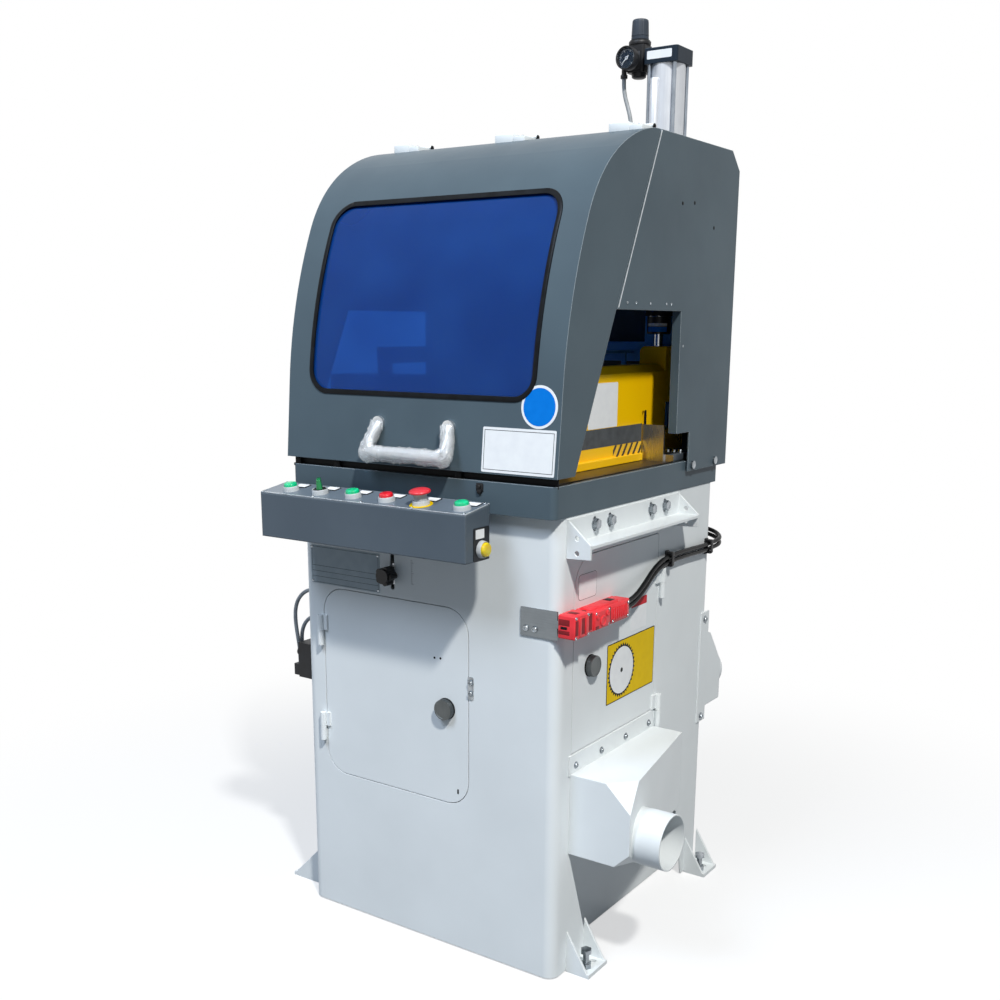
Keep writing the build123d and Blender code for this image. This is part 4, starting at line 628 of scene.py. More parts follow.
def on_hood_foot(x, height, proud):
    """A placing matrix on the straight foot of the hood's front, a little proud of the sheet."""
    (low_y, low_z), (high_y, high_z) = HOOD_FOOT
    slope = (high_y - low_y) / (high_z - low_z)
    normal = Vector((0, -1, slope)).normalized()
    return facing(Vector((x, low_y + (height - low_z) * slope, height)) + normal * proud, normal)


def seam_edges():
    """Bright strips of painted highlight along the slanted seam of the sheet, above the openings at both
    sides.
    """
    bm = bmesh.new()
    (low_y, low_z), (high_y, high_z) = SEAM
    slope = (high_y - low_y) / (high_z - low_z)
    run = Vector((0, slope, 1))
    foot = OPENING_TOP + 3
    middle_z = (foot + high_z) / 2
    middle = Vector((0, low_y + (middle_z - low_z) * slope + 3.4, middle_z))
    for side in (-1, 1):
        place = facing(middle + X * side * HOOD_SIDE, X * side, run)
        rounded_panel(bm, 2.2, run.length * (high_z - foot), 0.6, 0.7, place, steps=2)
    piece("seam_highlight_strips", bm, highlight_strip_metal, "machine")


def hood_signs():
    """Bare sign plate with a thin border and a bare round sign with a white rim, stuck on the hood's foot."""
    x, z = 227, 984.5
    panel_piece("sign_plate", white_vinyl, "front_hood", 148, 77, 2.5, 0.5, on_hood_foot(x, z, 0.05))
    bm = bmesh.new()
    for height in (1018, 951):
        rounded_panel(bm, 140, 0.9, 0, 0.15, on_hood_foot(x, height, 0.55))
    for end in (157, 297):
        rounded_panel(bm, 0.9, 67.9, 0, 0.15, on_hood_foot(end, z, 0.55))
    piece("sign_plate_border", bm, dark_print_and_shade, "front_hood")
    place = on_hood_foot(264.5, 1060, 0.05)
    axis = place.to_3x3() @ Z
    rim, face = 36, 31.5
    turned_piece("round_sign_rim", white_vinyl, "front_hood",
                 [(0, 0), (rim, 0), (rim, 0.5), (face, 0.55), (0, 0.55)], place.translation, axis, 64)
    turned_piece("round_sign_face", blue_vinyl, "front_hood", disc(face, 0.5, 0.75), place.translation,
                 axis, 64)


def hood_fasteners():
    """Rivets over the side openings and the spare holes of the rear hood, the same on both sides."""
    rivets, plugs = bmesh.new(), bmesh.new()
    for side in (-1, 1):
        for y in (-111, -79, -24, 41, 61):
            screw_head(rivets, (side * HOOD_SIDE, y, 1232), X * side, 2.6, 1.2)
        screw_head(rivets, (side * HOOD_SIDE, 118, 1155), X * side, 2.4, 1.0)
        for y, z in ((93, 1414), (144, 1419), (235, 1380)):
            turned(plugs, [(0, 0.3), (3.2, 0.3), (3.6, 0.1), (3.6, -0.4), (0, -0.4)],
                   (side * HOOD_SIDE, y, z), X * side, steps=16)
    piece("hood_rivets", rivets, zinc, "machine")
    piece("hood_hole_plugs", plugs, black_rubber, "machine")


def handle_film():
    """Clear film still wrapped round the hood's handle: long folds, loose below, gathered at the feet."""
    bm = tube_along(smooth_line("handle_film", FILM_ROUTE, smoothness=24), FILM_RADIUS, roundness=10)
    bmesh.ops.remove_doubles(bm, verts=bm.verts, dist=1e-3)
    bmesh.ops.recalc_face_normals(bm, faces=bm.faces)
    bm.normal_update()
    for vert in bm.verts:
        along = Vector((vert.co.x / 52, vert.co.y / 14, vert.co.z / 14))
        fold = 1 - abs(noise.noise(along))
        crease = 1 - abs(noise.noise(vert.co / 17 + Vector((7, 3, 1))))
        slack = max(0, -vert.normal.z) ** 2 * (4 + 5 * noise.noise(vert.co / 40))
        vert.co += vert.normal * (0.2 + 0.9 * fold ** 4 + 2.2 * crease ** 9) - Z * slack
    bmesh.ops.solidify(bm, geom=list(bm.faces), thickness=-0.3)
    piece("handle_film", bm, film, "front_hood", smooth=60)


def tray_trim():
    """Rubber buffers that the hood rests on, its foot seal, and the catch in the notch of the tray's rim."""
    bm = bmesh.new()
    for x in (-288, -187, 98):
        brick(bm, (x - 7, -328, 926), (x + 7, -318, 941.5), 1.5)
        brick(bm, (x - 10, -329, 925), (x + 10, -316, 930.5), 1)
    piece("hood_buffers", bm, black_rubber, "machine")
    bm = bmesh.new()
    brick(bm, (-301, -321.5, 924), (301, -317.5, 946), 1.2)
    piece("hood_foot_seal", bm, black_rubber, "front_hood")
    bm = bmesh.new()
    brick(bm, (139.5, -332, 910), (154.5, -325, 925), 1.5)
    brick(bm, (143, -334, 906.5), (151, -328, 914), 1.2)
    turned(bm, [(0, -4), (3, -4), (3, 3), (2.4, 3.6), (0, 3.6)], (147, -332, 919), -Y, steps=20)
    piece("hood_catch", bm, black_plastic, "machine")


def hood_hinges():
    """White front halves of the hood's hinges: a lower step, a dark joint and a pin head at the right."""
    leaves, pins, joints = bmesh.new(), bmesh.new(), bmesh.new()
    for low, high in HOOD_HINGES:
        step = low + 0.62 * (high - low)
        third = (high - low) / 3
        knuckle = third - 0.4
        brick(leaves, (low - 0.4, -51.4, 1522), (step, -11.4, 1540.6), 1.8)
        brick(leaves, (step, -51, 1522), (high + 0.4, -11.4, 1535.2), 1)
        for start in (low, high - knuckle):
            turned(leaves, [(2.6, 0), (5.3, 0), (5.5, 0.4), (5.5, knuckle - 0.4), (5.3, knuckle),
                            (2.6, knuckle), (2.6, 0)], (start, *HOOD_AXIS), X, steps=28)
        brick(joints, (step + 4, -40, 1534), (step + 6.5, -12, 1536.4), 0.4)
        turned(joints, [(0, 2.6), (3, 2.4), (4.6, 1.4), (4.6, 0), (0, 0)], (high + 0.1, *HOOD_AXIS), X,
               steps=20)
        screw_head(pins, (high - 10, -40, 1535), Z, 4, 2.4)
    piece("hood_hinge_leaves", leaves, pale_coat, "front_hood")
    piece("hood_hinge_joints", joints, dark_print_and_shade, "front_hood")
    piece("hood_hinge_screws", pins, zinc, "front_hood")


window_gasket()
seam_edges()
hood_hinges()
hood_signs()
hood_fasteners()
handle_film()
tray_trim()

# Control box
LID_FOOT = Vector((0, -425, 885))
LID_SLOPE = Vector((0, 70, 11))
LID_UP = Vector((0, -11, 70)).normalized()
BUTTON_Y = -400
PUSHERS = {
    "button_green_left": (-238, green_cap),
    "button_green_mid": (-84, green_cap),
    "button_red": (-5.5, red_cap),
    "button_green_right": (160, green_cap),
}
SELECTOR_X = -164
SELECTOR_ANGLE = 40
ESTOP_X = 72
END_BUTTON = Vector((185, -380, 820))
CAP_TOP = span("button_yellow")[1].x - END_BUTTON.x


def on_lid(x, y=BUTTON_Y):
    """Point on the lid's top."""
    return Vector((x, 0, 0)) + LID_FOOT + LID_SLOPE * ((y - LID_FOOT.y) / LID_SLOPE.y)


def control_bezels():
    """Satin bezels of all seven controls: a chamfered rim, a threaded barrel and the nut under the sheet."""
    bm = bmesh.new()
    xs = [x for x, _ in PUSHERS.values()] + [SELECTOR_X, ESTOP_X]
    for place, axis in [(on_lid(x), LID_UP) for x in xs] + [(END_BUTTON, X)]:
        turned(bm, [(8.2, 2), (12.95, 2), (12.95, 7.6), (13.3, 8.7), (13.9, 9), (14.3, 8.5), (14.8, 6.2),
                    (15.3, 2), (15.6, 0.02), (11, 0.02), (11, -2.4), (13.5, -2.4), (13.5, -8.4), (11, -8.4),
                    (11, -28), (8.2, -28), (8.2, 2)], place, axis, steps=48)
    piece("control_bezels", bm, satin_zinc, "machine", ["button_bezels"])


def push_cap(node, place, axis, finish):
    """A push button's lens cap with a soft shoulder, a groove round its face, and its stem."""
    top = CAP_TOP
    profile = [(0, top), (5, top - 0.1), (8.6, top - 0.5), (9.2, top - 1.0), (9.8, top - 0.5),
               (10.9, top - 0.8), (12, top - 1.9), (12.45, top - 3.4), (12.5, 6), (8, 6), (8, -14),
               (0, -14)]
    turned_piece(node + "_lens", finish, body_of(node), profile, place, axis, 48, stands_for=[node],
                 smooth=50)


def emergency_head():
    """Flat mushroom head of the emergency stop on its metal neck, with a yellow ring under the bezel."""
    place = on_lid(ESTOP_X)
    head = [(0, 28.6), (9, 28.4), (14.5, 27.6), (17.8, 26.2), (19.2, 24.6), (19.5, 23.4), (19.2, 22.2),
            (18, 21.4), (12.4, 21), (8, 21), (8, 8), (8, 0), (0, 0)]
    neck = [(8.05, 8.5), (12.2, 8.5), (12.3, 9.4), (11.6, 16), (12, 18.6), (14.5, 20.4), (14.5, 20.9),
            (8.05, 20.9), (8.05, 8.5)]
    collar = [(15.7, 0.05), (21, 0.05), (21, 0.7), (20.6, 1.1), (15.7, 1.1), (15.7, 0.05)]
    turned_piece("emergency_head", red_mushroom, "estop", head, place, LID_UP, 56, stands_for=["estop_head"],
                 smooth=50)
    turned_piece("emergency_neck", satin_zinc, "estop", neck, place, LID_UP)
    turned_piece("emergency_ring", yellow_vinyl, "machine", collar, place, LID_UP, 56)


def selector():
    """Selector: a smooth black crown in the bezel and a tapered green lever."""
    place = on_lid(SELECTOR_X)
    crown = [(0, 9.8), (9.5, 9.8), (11.2, 9.5), (12.3, 8.4), (12.5, 3), (8, 3), (8, -17), (0, -17)]
    turned_piece("selector_crown", black_plastic, "selector", crown, place, LID_UP,
                 stands_for=["selector_lever"])
    bm = bmesh.new()
    brick(bm, (-5.5, -11.5, 9), (5.5, 11.5, 28))
    top = [vert for vert in bm.verts if vert.co.z > 20]
    bmesh.ops.scale(bm, vec=(0.7, 0.88, 1), verts=top)
    bmesh.ops.bevel(bm, geom=list(bm.edges), offset=1.5, segments=3, profile=0.5, affect="EDGES", material=-1)
    turn = facing(place, LID_UP, Y) @ Matrix.Rotation(math.radians(SELECTOR_ANGLE), 4, "Z")
    bmesh.ops.transform(bm, matrix=turn, verts=bm.verts)
    piece("selector_grip", bm, green_glow, "selector", ["selector_lever"])


def legend_plates():
    """Bare white legend plates in black frames, one behind each control and one over the end button."""
    frames, faces = bmesh.new(), bmesh.new()
    places = [facing(on_lid(x + 2, -371), LID_UP, Y) for x, _ in PUSHERS.values()]
    places += [facing(on_lid(x + 2, -369), LID_UP, Y) for x in (SELECTOR_X, ESTOP_X)]
    places.append(facing(END_BUTTON + Vector((0, -5, 27)), X))
    rounded_panel(frames, 46, 58, 3, 1, facing(END_BUTTON + Vector((0, 0, 9)), X))
    for place in places:
        rounded_panel(frames, 29, 20, 2, 1.2, place)
        rounded_panel(faces, 25, 16, 1, 1.5, place)
    piece("legend_frames", frames, black_plastic, "machine")
    piece("legend_faces", faces, white_vinyl, "machine")


def lid_edges():
    """Strips of painted highlight along the lid's front, right and left folds."""
    bm = bmesh.new()
    low, high = span("control_lid")
    front = facing(on_lid((low.x + high.x) / 2, -423.6), LID_UP, Y)
    rounded_panel(bm, high.x - low.x - 6, 1.5, 0.6, 0.25, front, 2)
    for x in (low.x + 1.2, high.x - 1.2):
        rounded_panel(bm, 1.3, 66, 0.5, 0.25, facing(on_lid(x, -391), LID_UP, Y), 2)
    piece("lid_edge_highlights", bm, highlight_strip_metal, "machine")


def lid_screws():
    """Screws along the lid's front and back edges."""
    bm = bmesh.new()
    ends = (-287, 179)
    for y, xs in ((-420.5, (ends[0], -164, -48, 67, ends[1])), (-360, ends)):
        for x in xs:
            screw_head(bm, on_lid(x, y), LID_UP, 2.8, 1.6)
    piece("lid_screws", bm, zinc, "machine")


control_bezels()
for node, (x, finish) in PUSHERS.items():
    push_cap(node, on_lid(x), LID_UP, finish)
push_cap("button_yellow", END_BUTTON, X, amber_cap)
emergency_head()
selector()
legend_plates()
lid_edges()
lid_screws()

# Cabinet
FRONT = -310
SIDE = 300
PLATE = (-189.5, 730)
PLATE_THICK = 0.8


def rating_place():
    """Bare metal plate riveted over the front door, and the rule beside the adjusting knob's slot."""
    x, z = PLATE
    face = FRONT - PLATE_THICK
    panel_piece("maker_plate_blank", rating_plate, "machine", 177, 76, 3, PLATE_THICK,
                facing((x, FRONT, z), -Y))
    rules, rivets, marks = bmesh.new(), bmesh.new(), bmesh.new()
    for height in (694.5, 706, 717, 728, 765.5):
        rounded_panel(rules, 170, 0.7, 0, 0.1, facing((x, face, height), -Y))
    for end in (-274.5, -104.5):
        rounded_panel(rules, 0.7, 71, 0, 0.1, facing((end, face, z), -Y))
    piece("plate_rules", rules, grey_vinyl, "machine")
    rivet = [(0, 2), (1.3, 1.8), (2.2, 1), (2.4, 0), (0, 0)]
    for end in (-274, -105):
        for height in (696, 764):
            turned(rivets, rivet, (end, face, height), -Y, steps=16)
    piece("plate_rivets", rivets, zinc, "machine")
    for mark in range(12):
        long = 6 if mark % 5 == 0 else 3.5
        place = facing((-25 + long / 2, FRONT - 0.02, 720 + 4 * mark), -Y)
        rounded_panel(marks, long, 0.7, 0, 0.12, place)
    piece("slot_rule", marks, dark_print_and_shade, "machine")


def door_labels():
    """Bare labels on the side door, and the yellow plate that shows which way the blade's teeth point."""
    side_labels(SIDE, "side_door",
                ("side_label_edge", grey_vinyl, 63.6, 46.6, 7.5, 0.15, -213, 741.5),
                ("side_label_blank", white_vinyl, 62, 45, 7, 0.3, -213, 741.5),
                ("switch_label_blank", white_vinyl, 63, 62, 3, 0.3, -12.5, 651),
                ("switch_label_band", red_vinyl, 63, 16, 2, 0.5, -12.5, 674),
                ("blade_plate_edge", dark_print_and_shade, 191, 118, 3, 0.35, -38.5, 553),
                ("blade_plate", yellow_vinyl, 187, 114, 2, 0.6, -38.5, 553))
    centre = Vector((SIDE + 0.6, -77, 552))
    root, tip = 48, 53.5
    teeth = bmesh.new()
    bmesh.ops.create_circle(teeth, cap_ends=True, segments=72, radius=root)
    for index, vert in enumerate(teeth.verts):
        if index % 2:
            vert.co *= tip / root
    lift(teeth, list(teeth.faces), (0, 0, 0.15))
    bmesh.ops.transform(teeth, matrix=facing(centre, X), verts=teeth.verts)
    piece("blade_plate_teeth", teeth, dark_print_and_shade, "side_door")
    turned_piece("blade_plate_disc", white_vinyl, "side_door", disc(46, 0.12, 0.25), centre, X, 64)
    turned_piece("blade_plate_bore", dark_print_and_shade, "side_door", disc(4.5, 0.22, 0.36), centre, X, 24)


def door_latches():
    """Round turn latches: a rolled rim round the steel face, and a black rubber ring against the door."""
    seal = [(9.2, 0.02), (20.8, 0.02), (20.8, 1.6), (20.2, 2.4), (19.7, 2.4), (19.7, 0.26), (9.2, 0.26),
            (9.2, 0.02)]
    rim = [(16, 12.2), (16.6, 12.9), (17.8, 13.2), (19.2, 12.6), (19.8, 11), (19.8, 3), (19.55, 3),
           (19.55, 12), (16, 12.2)]
    for name, place, axis, door in (("front_latch", (56, FRONT, 490), -Y, "front_door"),
                                    ("side_latch", (SIDE, -197, 589.5), X, "side_door")):
        turned_piece(name + "_ring", black_rubber, door, seal, place, axis)
        turned_piece(name + "_rim", burnished, body_of(name), rim, place, axis, 48)


def small_fasteners():
    """Screws of the chutes, the key plate and the door catch, and painted shade over the spare holes of the
    front door.
    """
    bm = bmesh.new()
    for y in (-245, -151, -56, 41):
        turned(bm, [(0, 0.8), (6.5, 0.8), (7, 0.4), (7, 0), (0, 0)], (302.5, y, 412), X, steps=24)
        screw_head(bm, (303.3, y, 412), X, 4.6, 3)
    for z in (577, 357):
        turned(bm, [(0, 1), (8, 1), (8.4, 0.6), (8.4, 0), (0, 0)], (303, 292, z), X, steps=24)
        screw_head(bm, (304, 292, z), X, 5.6, 3.6)
    for x in (234.5, 253):
        screw_head(bm, (x, FRONT - 3, 674.5), -Y, 6, 3.5)
    rounded_panel(bm, 12, 44, 3, 1.6, facing((113, FRONT, 540), -Y))
    for z in (551, 530.5):
        screw_head(bm, (114, FRONT - 1.6, z), -Y, 5.6, 4)
    piece("panel_screws", bm, zinc, "machine")
    bm = bmesh.new()
    # Black patches of painted shade where the door's spare holes are.
    for x, z in ((29, 585), (43, 586)):
        turned(bm, disc(2.4, 0.15, -0.3), (x, FRONT, z), -Y, steps=14)
    rounded_panel(bm, 4, 10, 1.8, 0.15, facing((83, FRONT, 329), -Y))
    piece("door_hole_shades", bm, dark_print_and_shade, "front_door")


def cable_clips():
    """Nylon saddles that hold the two cables on the wall, and the rubber entry in the back wall for them."""
    bm = bmesh.new()
    for y, z in ((97, 744), (282, 742)):
        brick(bm, (300.2, y - 7, z - 20), (304, y + 7, z + 14), 1.2)
        brick(bm, (302, y - 5, z + 6.5), (315.5, y + 5, z + 12), 1.5)
        brick(bm, (302, y - 5, z - 18), (315.5, y + 5, z - 12.5), 1.5)
        brick(bm, (313.6, y - 5, z - 16), (316.6, y + 5, z + 10), 1.2)
    piece("cable_saddles", bm, black_plastic, "machine")
    bm = bmesh.new()
    brick(bm, (180, 310.1, 743), (216, 313, 782), 1.2)
    brick(bm, (188, 311, 747.5), (208, 327, 777.5), 5, 4)
    x, _, z = CABLE_ROUTE[-1]
    boot = [(4.55, 0), (7, 0), (7, 3), (5.4, 12), (4.55, 12.4), (4.55, 0)]
    for drop in (0, CABLE_PITCH):
        turned(bm, boot, (x, 326, z - drop), Y, steps=28)
    piece("cable_entry", bm, black_rubber, "machine")


rating_place()
door_labels()
door_latches()
small_fasteners()
cable_clips()

# Safety switch, as boxes: low corner, high corner, and the rounding of the edges with its steps
SWITCH_BODY = [
    ((300.1, -252, 672), (305, -124, 706), 1),
    ((304, -256, 669), (335, -118, 706), 3, 3),
    ((304, -320, 668), (339, -271, 710.5), 3, 3),
    ((304, -274, 671), (335, -252, 707), 2, 3),
    ((306, -250, 702), (330, -150, 709.5), 2.5, 3),
    ((332, -250, 671), (338.5, -196, 704), 2, 3),
    ((332, -190, 673), (337, -124, 703), 2, 3),
]
SWITCH_BODY += [((336, y, 677), (338.8, y + 4, 699), 1) for y in range(-184, -130, 8)]
SWITCH_BODY += [((338, y, 673), (340.4, y + 7, 705), 0.8) for y in (-306, -286)]
# Thin dark red patches of painted shade where the switch's recesses are: low corner, high corner.
SWITCH_RECESS_SHADES = [
    ((338.2, -299, 675), (339.3, -287, 703)),
    ((338.2, -318, 676), (339.3, -309, 702)),
    ((306, -320.3, 676), (328, -319, 683)),
    ((306, -320.3, 692), (328, -319, 703)),
    ((334, -272, 674), (335.4, -256, 704)),
    ((330, -195.5, 672), (336.8, -191, 703.5)),
    ((312, -304, 709.8), (331, -290, 710.8)),
    ((337.8, -248, 672.5), (338.7, -236, 678)),
]
SWITCH_BUTTONS = [(-222, 684, 10), (-241, 695, 5.5), (-206, 695, 5.5)]
HEAD_SCREWS = [(-316, 671.5), (-316, 706.5), (-275, 671.5), (-275, 706.5)]
BODY_SCREWS = [(-246, 701), (-200, 674.5), (-200, 701), (-186, 676), (-128, 676), (-128, 700)]


def safety_switch():
    """Red interlock switch: key head, stepped body with ribbed covers, painted shade in recesses and slots,
    two cable glands.
    """
    body, recesses, screws, slots, glands = (bmesh.new() for _ in range(5))
    for box in SWITCH_BODY:
        brick(body, *box)
    for y, z, radius in SWITCH_BUTTONS:
        turned(body, [(0, 1), (radius - 4, 1), (radius - 3, 2), (radius - 1, 2), (radius, 1), (radius, -1),
                      (0, -1)], (338.6, y, z), X, steps=32)
    piece("interlock_switch", body, red_plastic, "side_door", ["safety_switch"])
    for box in SWITCH_RECESS_SHADES:
        brick(recesses, *box, 0.3)
    piece("interlock_recess_shades", recesses, recess_shade_red, "side_door")
    for face, height, places in ((338.8, 1.4, HEAD_SCREWS), (337.6, 1.8, BODY_SCREWS)):
        for y, z in places:
            screw_head(screws, (face, y, z), X, 2.8, height)
    piece("interlock_screws", screws, zinc, "side_door")
    # Black patches of painted shade where the key slots and the hole on top are.
    brick(slots, (310, -320.4, 685), (323, -318, 690), 0.4)
    brick(slots, (310, -176, 708.6), (326, -158, 709.9), 0.4)
    turned(slots, disc(4, 0, 1.2), (322, -262, 706.5), Z, steps=20)
    piece("interlock_key_slot_shades", slots, dark_print_and_shade, "side_door")
    x, y, z = CABLE_ROUTE[0]
    for drop in (0, CABLE_PITCH):
        turned(glands, [(4.6, -2), (5.6, -2), (5.6, 6), (5.2, 7), (5.2, 16), (4.6, 18), (4.6, -2)],
               (x, y, z - drop), Y, steps=24)
    piece("interlock_glands", glands, black_plastic, "side_door")


safety_switch()

# Clamp and guard
GUARD_FACE = 222
CLAMP = Vector((196, 235, 0))
SLEEVE = (1212, 1484)
COLLAR_FRONT = Vector((0.3, -1, 0)).normalized()
GAUGE = Vector((133.5, 175, 1698))
REGULATOR = (133.5, 232)
KNOB_FOOT = 1738.6
KNOB_RINGS = [(17.3, 0.8), (17.3, 5), (16.7, 5.6), (16.7, 7), (17.3, 7.6), (17, 10), (16, 33), (15.4, 36),
              (14, 37.4)]


def guard_marks():
    """Slanting bars, a grey band, a bare label and the shaded slot on the guard's right face."""
    side_labels(GUARD_FACE, "clamp",
                ("guard_bars", stripes, 115, 23, 0, 0.3, 65.5, 956),
                ("guard_band", grey_vinyl, 330, 35, 0, 0.3, -42, 985.5),
                ("guard_label_blank", white_vinyl, 111, 84, 3, 0.3, -35, 1046),
                ("guard_slot_shade", dark_print_and_shade, 9, 34, 4.4, 0.2, 138, 1012))


def guide_sleeve():
    """Black bellows tube over the rod's guide, a black skin on the rod's collar, a bare two-colour band."""
    low, high = SLEEVE
    bellows = [(27.2, low), (28.2, low)]
    for height in range(low + 4, high - 8, 8):
        bellows += [(28.8, height), (27.6, height + 4)]
    bellows += [(28.2, high), (27.2, high), (27.2, low)]
    turned_piece("guide_sleeve_cover", black_rubber, "machine", bellows, CLAMP, Z)
    collar = [(10.2, 1176.5), (23.4, 1176.5), (24.3, 1177.6), (24.3, 1211.5), (10.2, 1211.5), (10.2, 1176.5)]
    turned_piece("rod_collar_cover", black_plastic, "clamp", collar, CLAMP, Z)
    for name, low, high, finish in (("blue", 1181, 1191, blue_vinyl), ("white", 1192, 1198, white_vinyl)):
        bm = bmesh.new()
        turned(bm, ring(24, 24.38, low, high), CLAMP, Z)
        bmesh.ops.bisect_plane(bm, geom=bm.verts[:] + bm.edges[:] + bm.faces[:], dist=1e-4,
                               plane_co=CLAMP + 15 * COLLAR_FRONT, plane_no=COLLAR_FRONT, clear_inner=True)
        bmesh.ops.holes_fill(bm, edges=[edge for edge in bm.edges if edge.is_boundary])
        piece("collar_band_" + name, bm, finish, "clamp")


def fence_foot():
    """Dark plate over the fence's right foot with its row of clamp screws."""
    bm = bmesh.new()
    brick(bm, (229.5, 133, 930.6), (290.4, 197.4, 944.2), 0.8)
    piece("fence_foot_plate", bm, motor_coat, "machine")
    first = span("fence")[1].x - 50
    bm = bmesh.new()
    for step in range(4):
        screw_head(bm, (first + 14 * step, 180, 944), Z, 5.5, 6)
    piece("fence_foot_screws", bm, zinc, "machine")


def cylinder_trim():
    """Bare label on the upper cap, and the barrel with the rounded switch rail on its front."""
    panel_piece("cap_label_blank", white_vinyl, "machine", 53, 15, 2, 0.3, facing((194, 199, 1702), -Y))
    bm = bmesh.new()
    turned(bm, ring(31.6, 34, 1543.2, 1686.8), CLAMP, Z, steps=72)
    rail = [(0, 1543.4), (10.1, 1543.4), (10.1, 1658.4), (9.2, 1660), (0, 1660)]
    turned(bm, rail, (184.5, 203.2, 0), Z, steps=32)
    piece("clamp_barrel", bm, anodised, "machine", ["clamp_cylinder"])


def gauge_trim():
    """Gauge dial with ticks, its rolled rim and its lens."""
    rim = [(18.7, 4), (18.7, -0.8), (19.4, -1.6), (20.8, -1.6), (21.4, -0.8), (21.4, 16), (18.7, 16),
           (18.7, 4)]
    turned_piece("gauge_rim", black_plastic, "machine", rim, GAUGE, Y, 48)
    turned_piece("gauge_dial", dial_blue, "machine", disc(18.6, 6.6, 6.9), GAUGE, Y, 48)
    bm = bmesh.new()
    for tick in range(26):
        angle = math.radians(-45 + 270 * tick / 25)
        width, long = (0.9, 4.2) if tick % 5 == 0 else (0.5, 2.4)
        out = Vector((math.cos(angle), 0, math.sin(angle)))
        rounded_panel(bm, width, long, 0, 0.1, facing(GAUGE + Y * 6.55 + out * (17 - long / 2), -Y, out))
    piece("gauge_ticks", bm, white_vinyl, "machine")
    turned_piece("gauge_lens", lens_glass, "machine", disc(18.6, 0.4, 1.4), GAUGE, Y, 48)


def regulator_trim():
    """Ring nut under the regulator's fluted knob, the cap under its body, the elbow's collar and the knob."""
    x, y = REGULATOR
    nut = [(19.9, 1729), (22, 1729.4), (22.4, 1730.4), (22.4, 1735), (21.6, 1736), (19.9, 1736.4),
           (19.9, 1729)]
    cap = [(0, 1669), (11, 1669), (14, 1671), (15, 1678.5), (0, 1678.5)]
    elbow = [(3.8, 1666), (6.6, 1666), (6.9, 1667), (6.9, 1672), (6.2, 1673), (5.2, 1674), (3.8, 1674),
             (3.8, 1666)]
    bm = bmesh.new()
    turned(bm, nut, (x, y, 0), Z, steps=12)
    turned(bm, cap, (x, y, 0), Z, steps=32)
    turned(bm, elbow, (116, 203, 0), Z, steps=28)
    brick(bm, (x - 12, y - 20.4, 1682), (x + 12, y - 18, 1716), 1.5)
    piece("regulator_collars", bm, black_plastic, "machine")
    bm = bmesh.new()
    knob = bmesh.ops.create_circle(bm, cap_ends=False, segments=128, radius=16)["verts"]
    for index, vert in enumerate(knob):
        if index % 4 in (0, 1):
            vert.co *= 15.6 / 16
    edges = list(bm.edges)
    for radius, height in KNOB_RINGS:
        made = bmesh.ops.extrude_edge_only(bm, edges=edges)
        verts = [item for item in made["geom"] if isinstance(item, bmesh.types.BMVert)]
        edges = [item for item in made["geom"] if isinstance(item, bmesh.types.BMEdge)]
        grow = radius / max(Vector(vert.co.xy).length for vert in verts)
        bmesh.ops.scale(bm, vec=(grow, grow, 1), verts=verts)
        bmesh.ops.translate(bm, vec=(0, 0, height - verts[0].co.z), verts=verts)
    bmesh.ops.contextual_create(bm, geom=edges)
    bmesh.ops.translate(bm, vec=(x, y, KNOB_FOOT), verts=bm.verts)
    piece("regulator_knob_fluted", bm, blue_black_plastic, "regulator_knob", ["regulator_knob"])


guard_marks()
guide_sleeve()
fence_foot()
cylinder_trim()
gauge_trim()
regulator_trim()

# Camera, light and floor
CAMERA = Vector((1318.29, -1981.95, 1190.38))
LOOK = Vector((-0.5497, 0.8023, -0.2328))
RIGHT = Vector((0.8242, 0.5662, 0.0051))
UP = Vector((-0.1359, 0.1891, 0.9725))
FOCAL_PIXELS = 1167.86
PICTURE = 1000
CENTRE_PIXEL = (497.96, 605.80)
SENSOR = 36
LAMP_TARGET = Vector((0, 0, 0.9))


def camera():
    """The photograph's viewpoint."""
    lens = bpy.data.cameras.new("viewpoint")
    lens.sensor_width = SENSOR
    lens.lens = FOCAL_PIXELS * SENSOR / PICTURE
    lens.shift_x = (PICTURE / 2 - CENTRE_PIXEL[0]) / PICTURE
    lens.shift_y = (CENTRE_PIXEL[1] - PICTURE / 2) / PICTURE
    made = bpy.data.objects.new("viewpoint", lens)
    turn = Matrix((RIGHT, UP, -LOOK)).transposed().to_4x4()
    made.matrix_world = Matrix.Translation(CAMERA * MM) @ turn
    bpy.context.collection.objects.link(made)
    bpy.context.scene.camera = made


def lamp(name, place, size, power, tint):
    """A soft square lamp, its place and size in metres, aimed at the middle of the machine."""
    light = bpy.data.lights.new(name, "AREA")
    light.size = size
    light.energy = power
    light.color = colour(tint)[:3]
    made = bpy.data.objects.new(name, light)
    made.location = place
    made.rotation_euler = (LAMP_TARGET - Vector(place)).to_track_quat("-Z", "Y").to_euler()
    bpy.context.collection.objects.link(made)


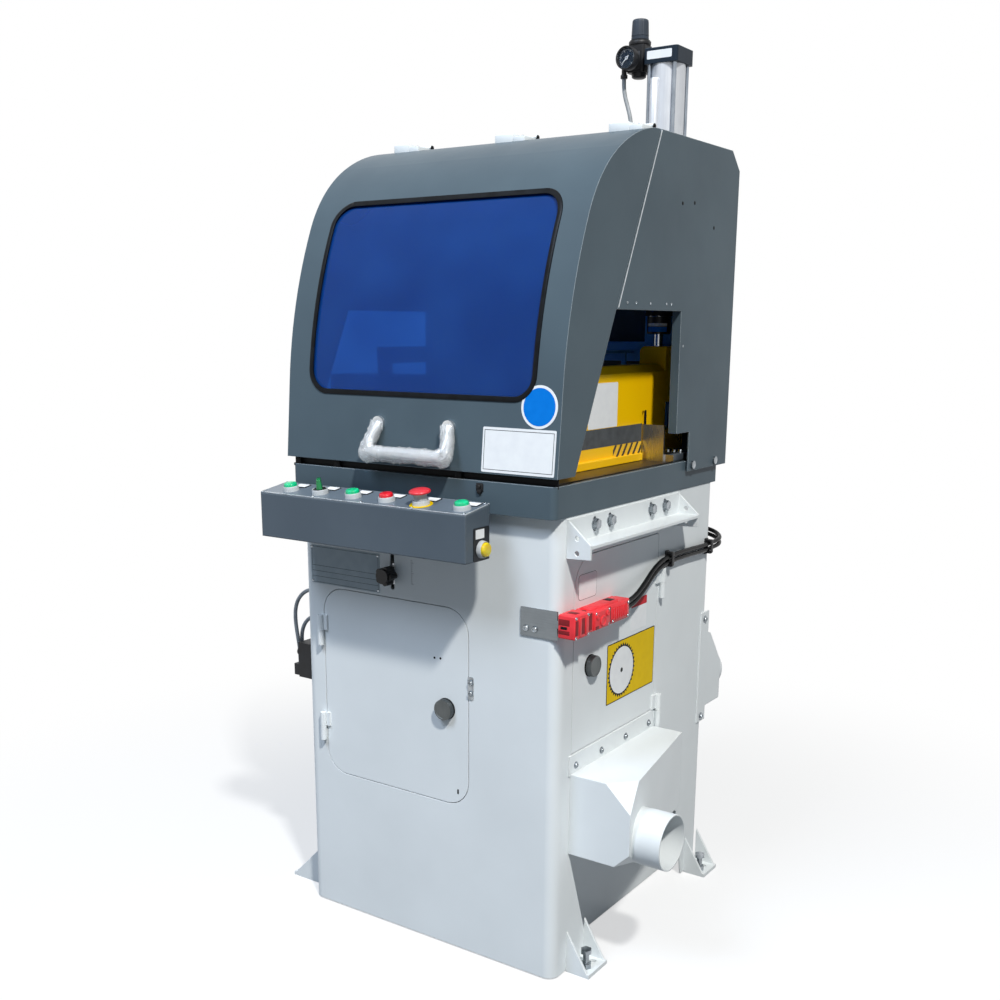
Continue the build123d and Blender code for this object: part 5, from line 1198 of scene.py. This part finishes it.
def background_rays(tree):
    """1 for what the camera sees straight, in gloss or through glass, 0 for light on its way to the part."""
    path = add(tree, "LightPath")
    mirrored = add(tree, "Math", {0: path.outputs["Is Camera Ray"], 1: path.outputs["Is Glossy Ray"]},
                   operation="MAXIMUM")
    return add(tree, "Math", {0: mirrored, 1: path.outputs["Is Transmission Ray"]},
               operation="MAXIMUM")


def studio_floor():
    """White floor that keeps the object's shadow and fades to a plain white background further out."""
    bm = bmesh.new()
    bmesh.ops.create_grid(bm, x_segments=1, y_segments=1, size=14)
    mesh = bpy.data.meshes.new("studio_floor")
    bm.to_mesh(mesh)
    bm.free()
    finish, tree, place = finish_of("white_floor_paint")
    seen = background_rays(tree)
    away = add(tree, "VectorMath", {0: place}, operation="LENGTH")
    fade = add(tree, "MapRange", {"Value": away.outputs["Value"], "From Min": 0.5, "From Max": 1.9,
                                  "To Min": 0.6, "To Max": 1.0}, interpolation_type="SMOOTHSTEP")
    paint = add(tree, "MixRGB", {"Fac": seen, "Color1": colour("#74787c"), "Color2": colour("#f6f7f8")})
    matt = add(tree, "BsdfDiffuse", {"Color": paint})
    white = add(tree, "Emission", {"Color": colour("#ffffff"), "Strength": 1.0})
    share = add(tree, "Math", {0: fade, 1: seen}, operation="MULTIPLY")
    both = add(tree, "MixShader", {0: share, 1: matt, 2: white})
    add(tree, "OutputMaterial", {"Surface": both})
    mesh.materials.append(finish)
    floor = bpy.data.objects.new("studio_floor", mesh)
    bpy.context.collection.objects.link(floor)


def studio():
    """Pale surroundings, a small key lamp high at the front right, and a broad cool fill in front."""
    world = bpy.data.worlds.new("studio_surround")
    world.use_nodes = True
    sky = world.node_tree
    sky.nodes.clear()
    seen = background_rays(sky)
    level = add(sky, "MapRange", {"Value": seen, "To Min": 0.18, "To Max": 1.0})
    tint = add(sky, "MixRGB", {"Fac": seen, "Color1": colour("#cfe2f4"), "Color2": colour("#ffffff")})
    glow = add(sky, "Background", {"Color": tint, "Strength": level})
    add(sky, "OutputWorld", {"Surface": glow})
    bpy.context.scene.world = world
    lamp("key", (4.68, -3.78, 7.6), size=0.5, power=805, tint="#fffdf8")
    lamp("fill", (-1.0, -4.2, 6.0), size=2.4, power=272, tint="#d6e5fa")


camera()
studio_floor()
studio()
bpy.context.scene.view_settings.view_transform = "Standard"
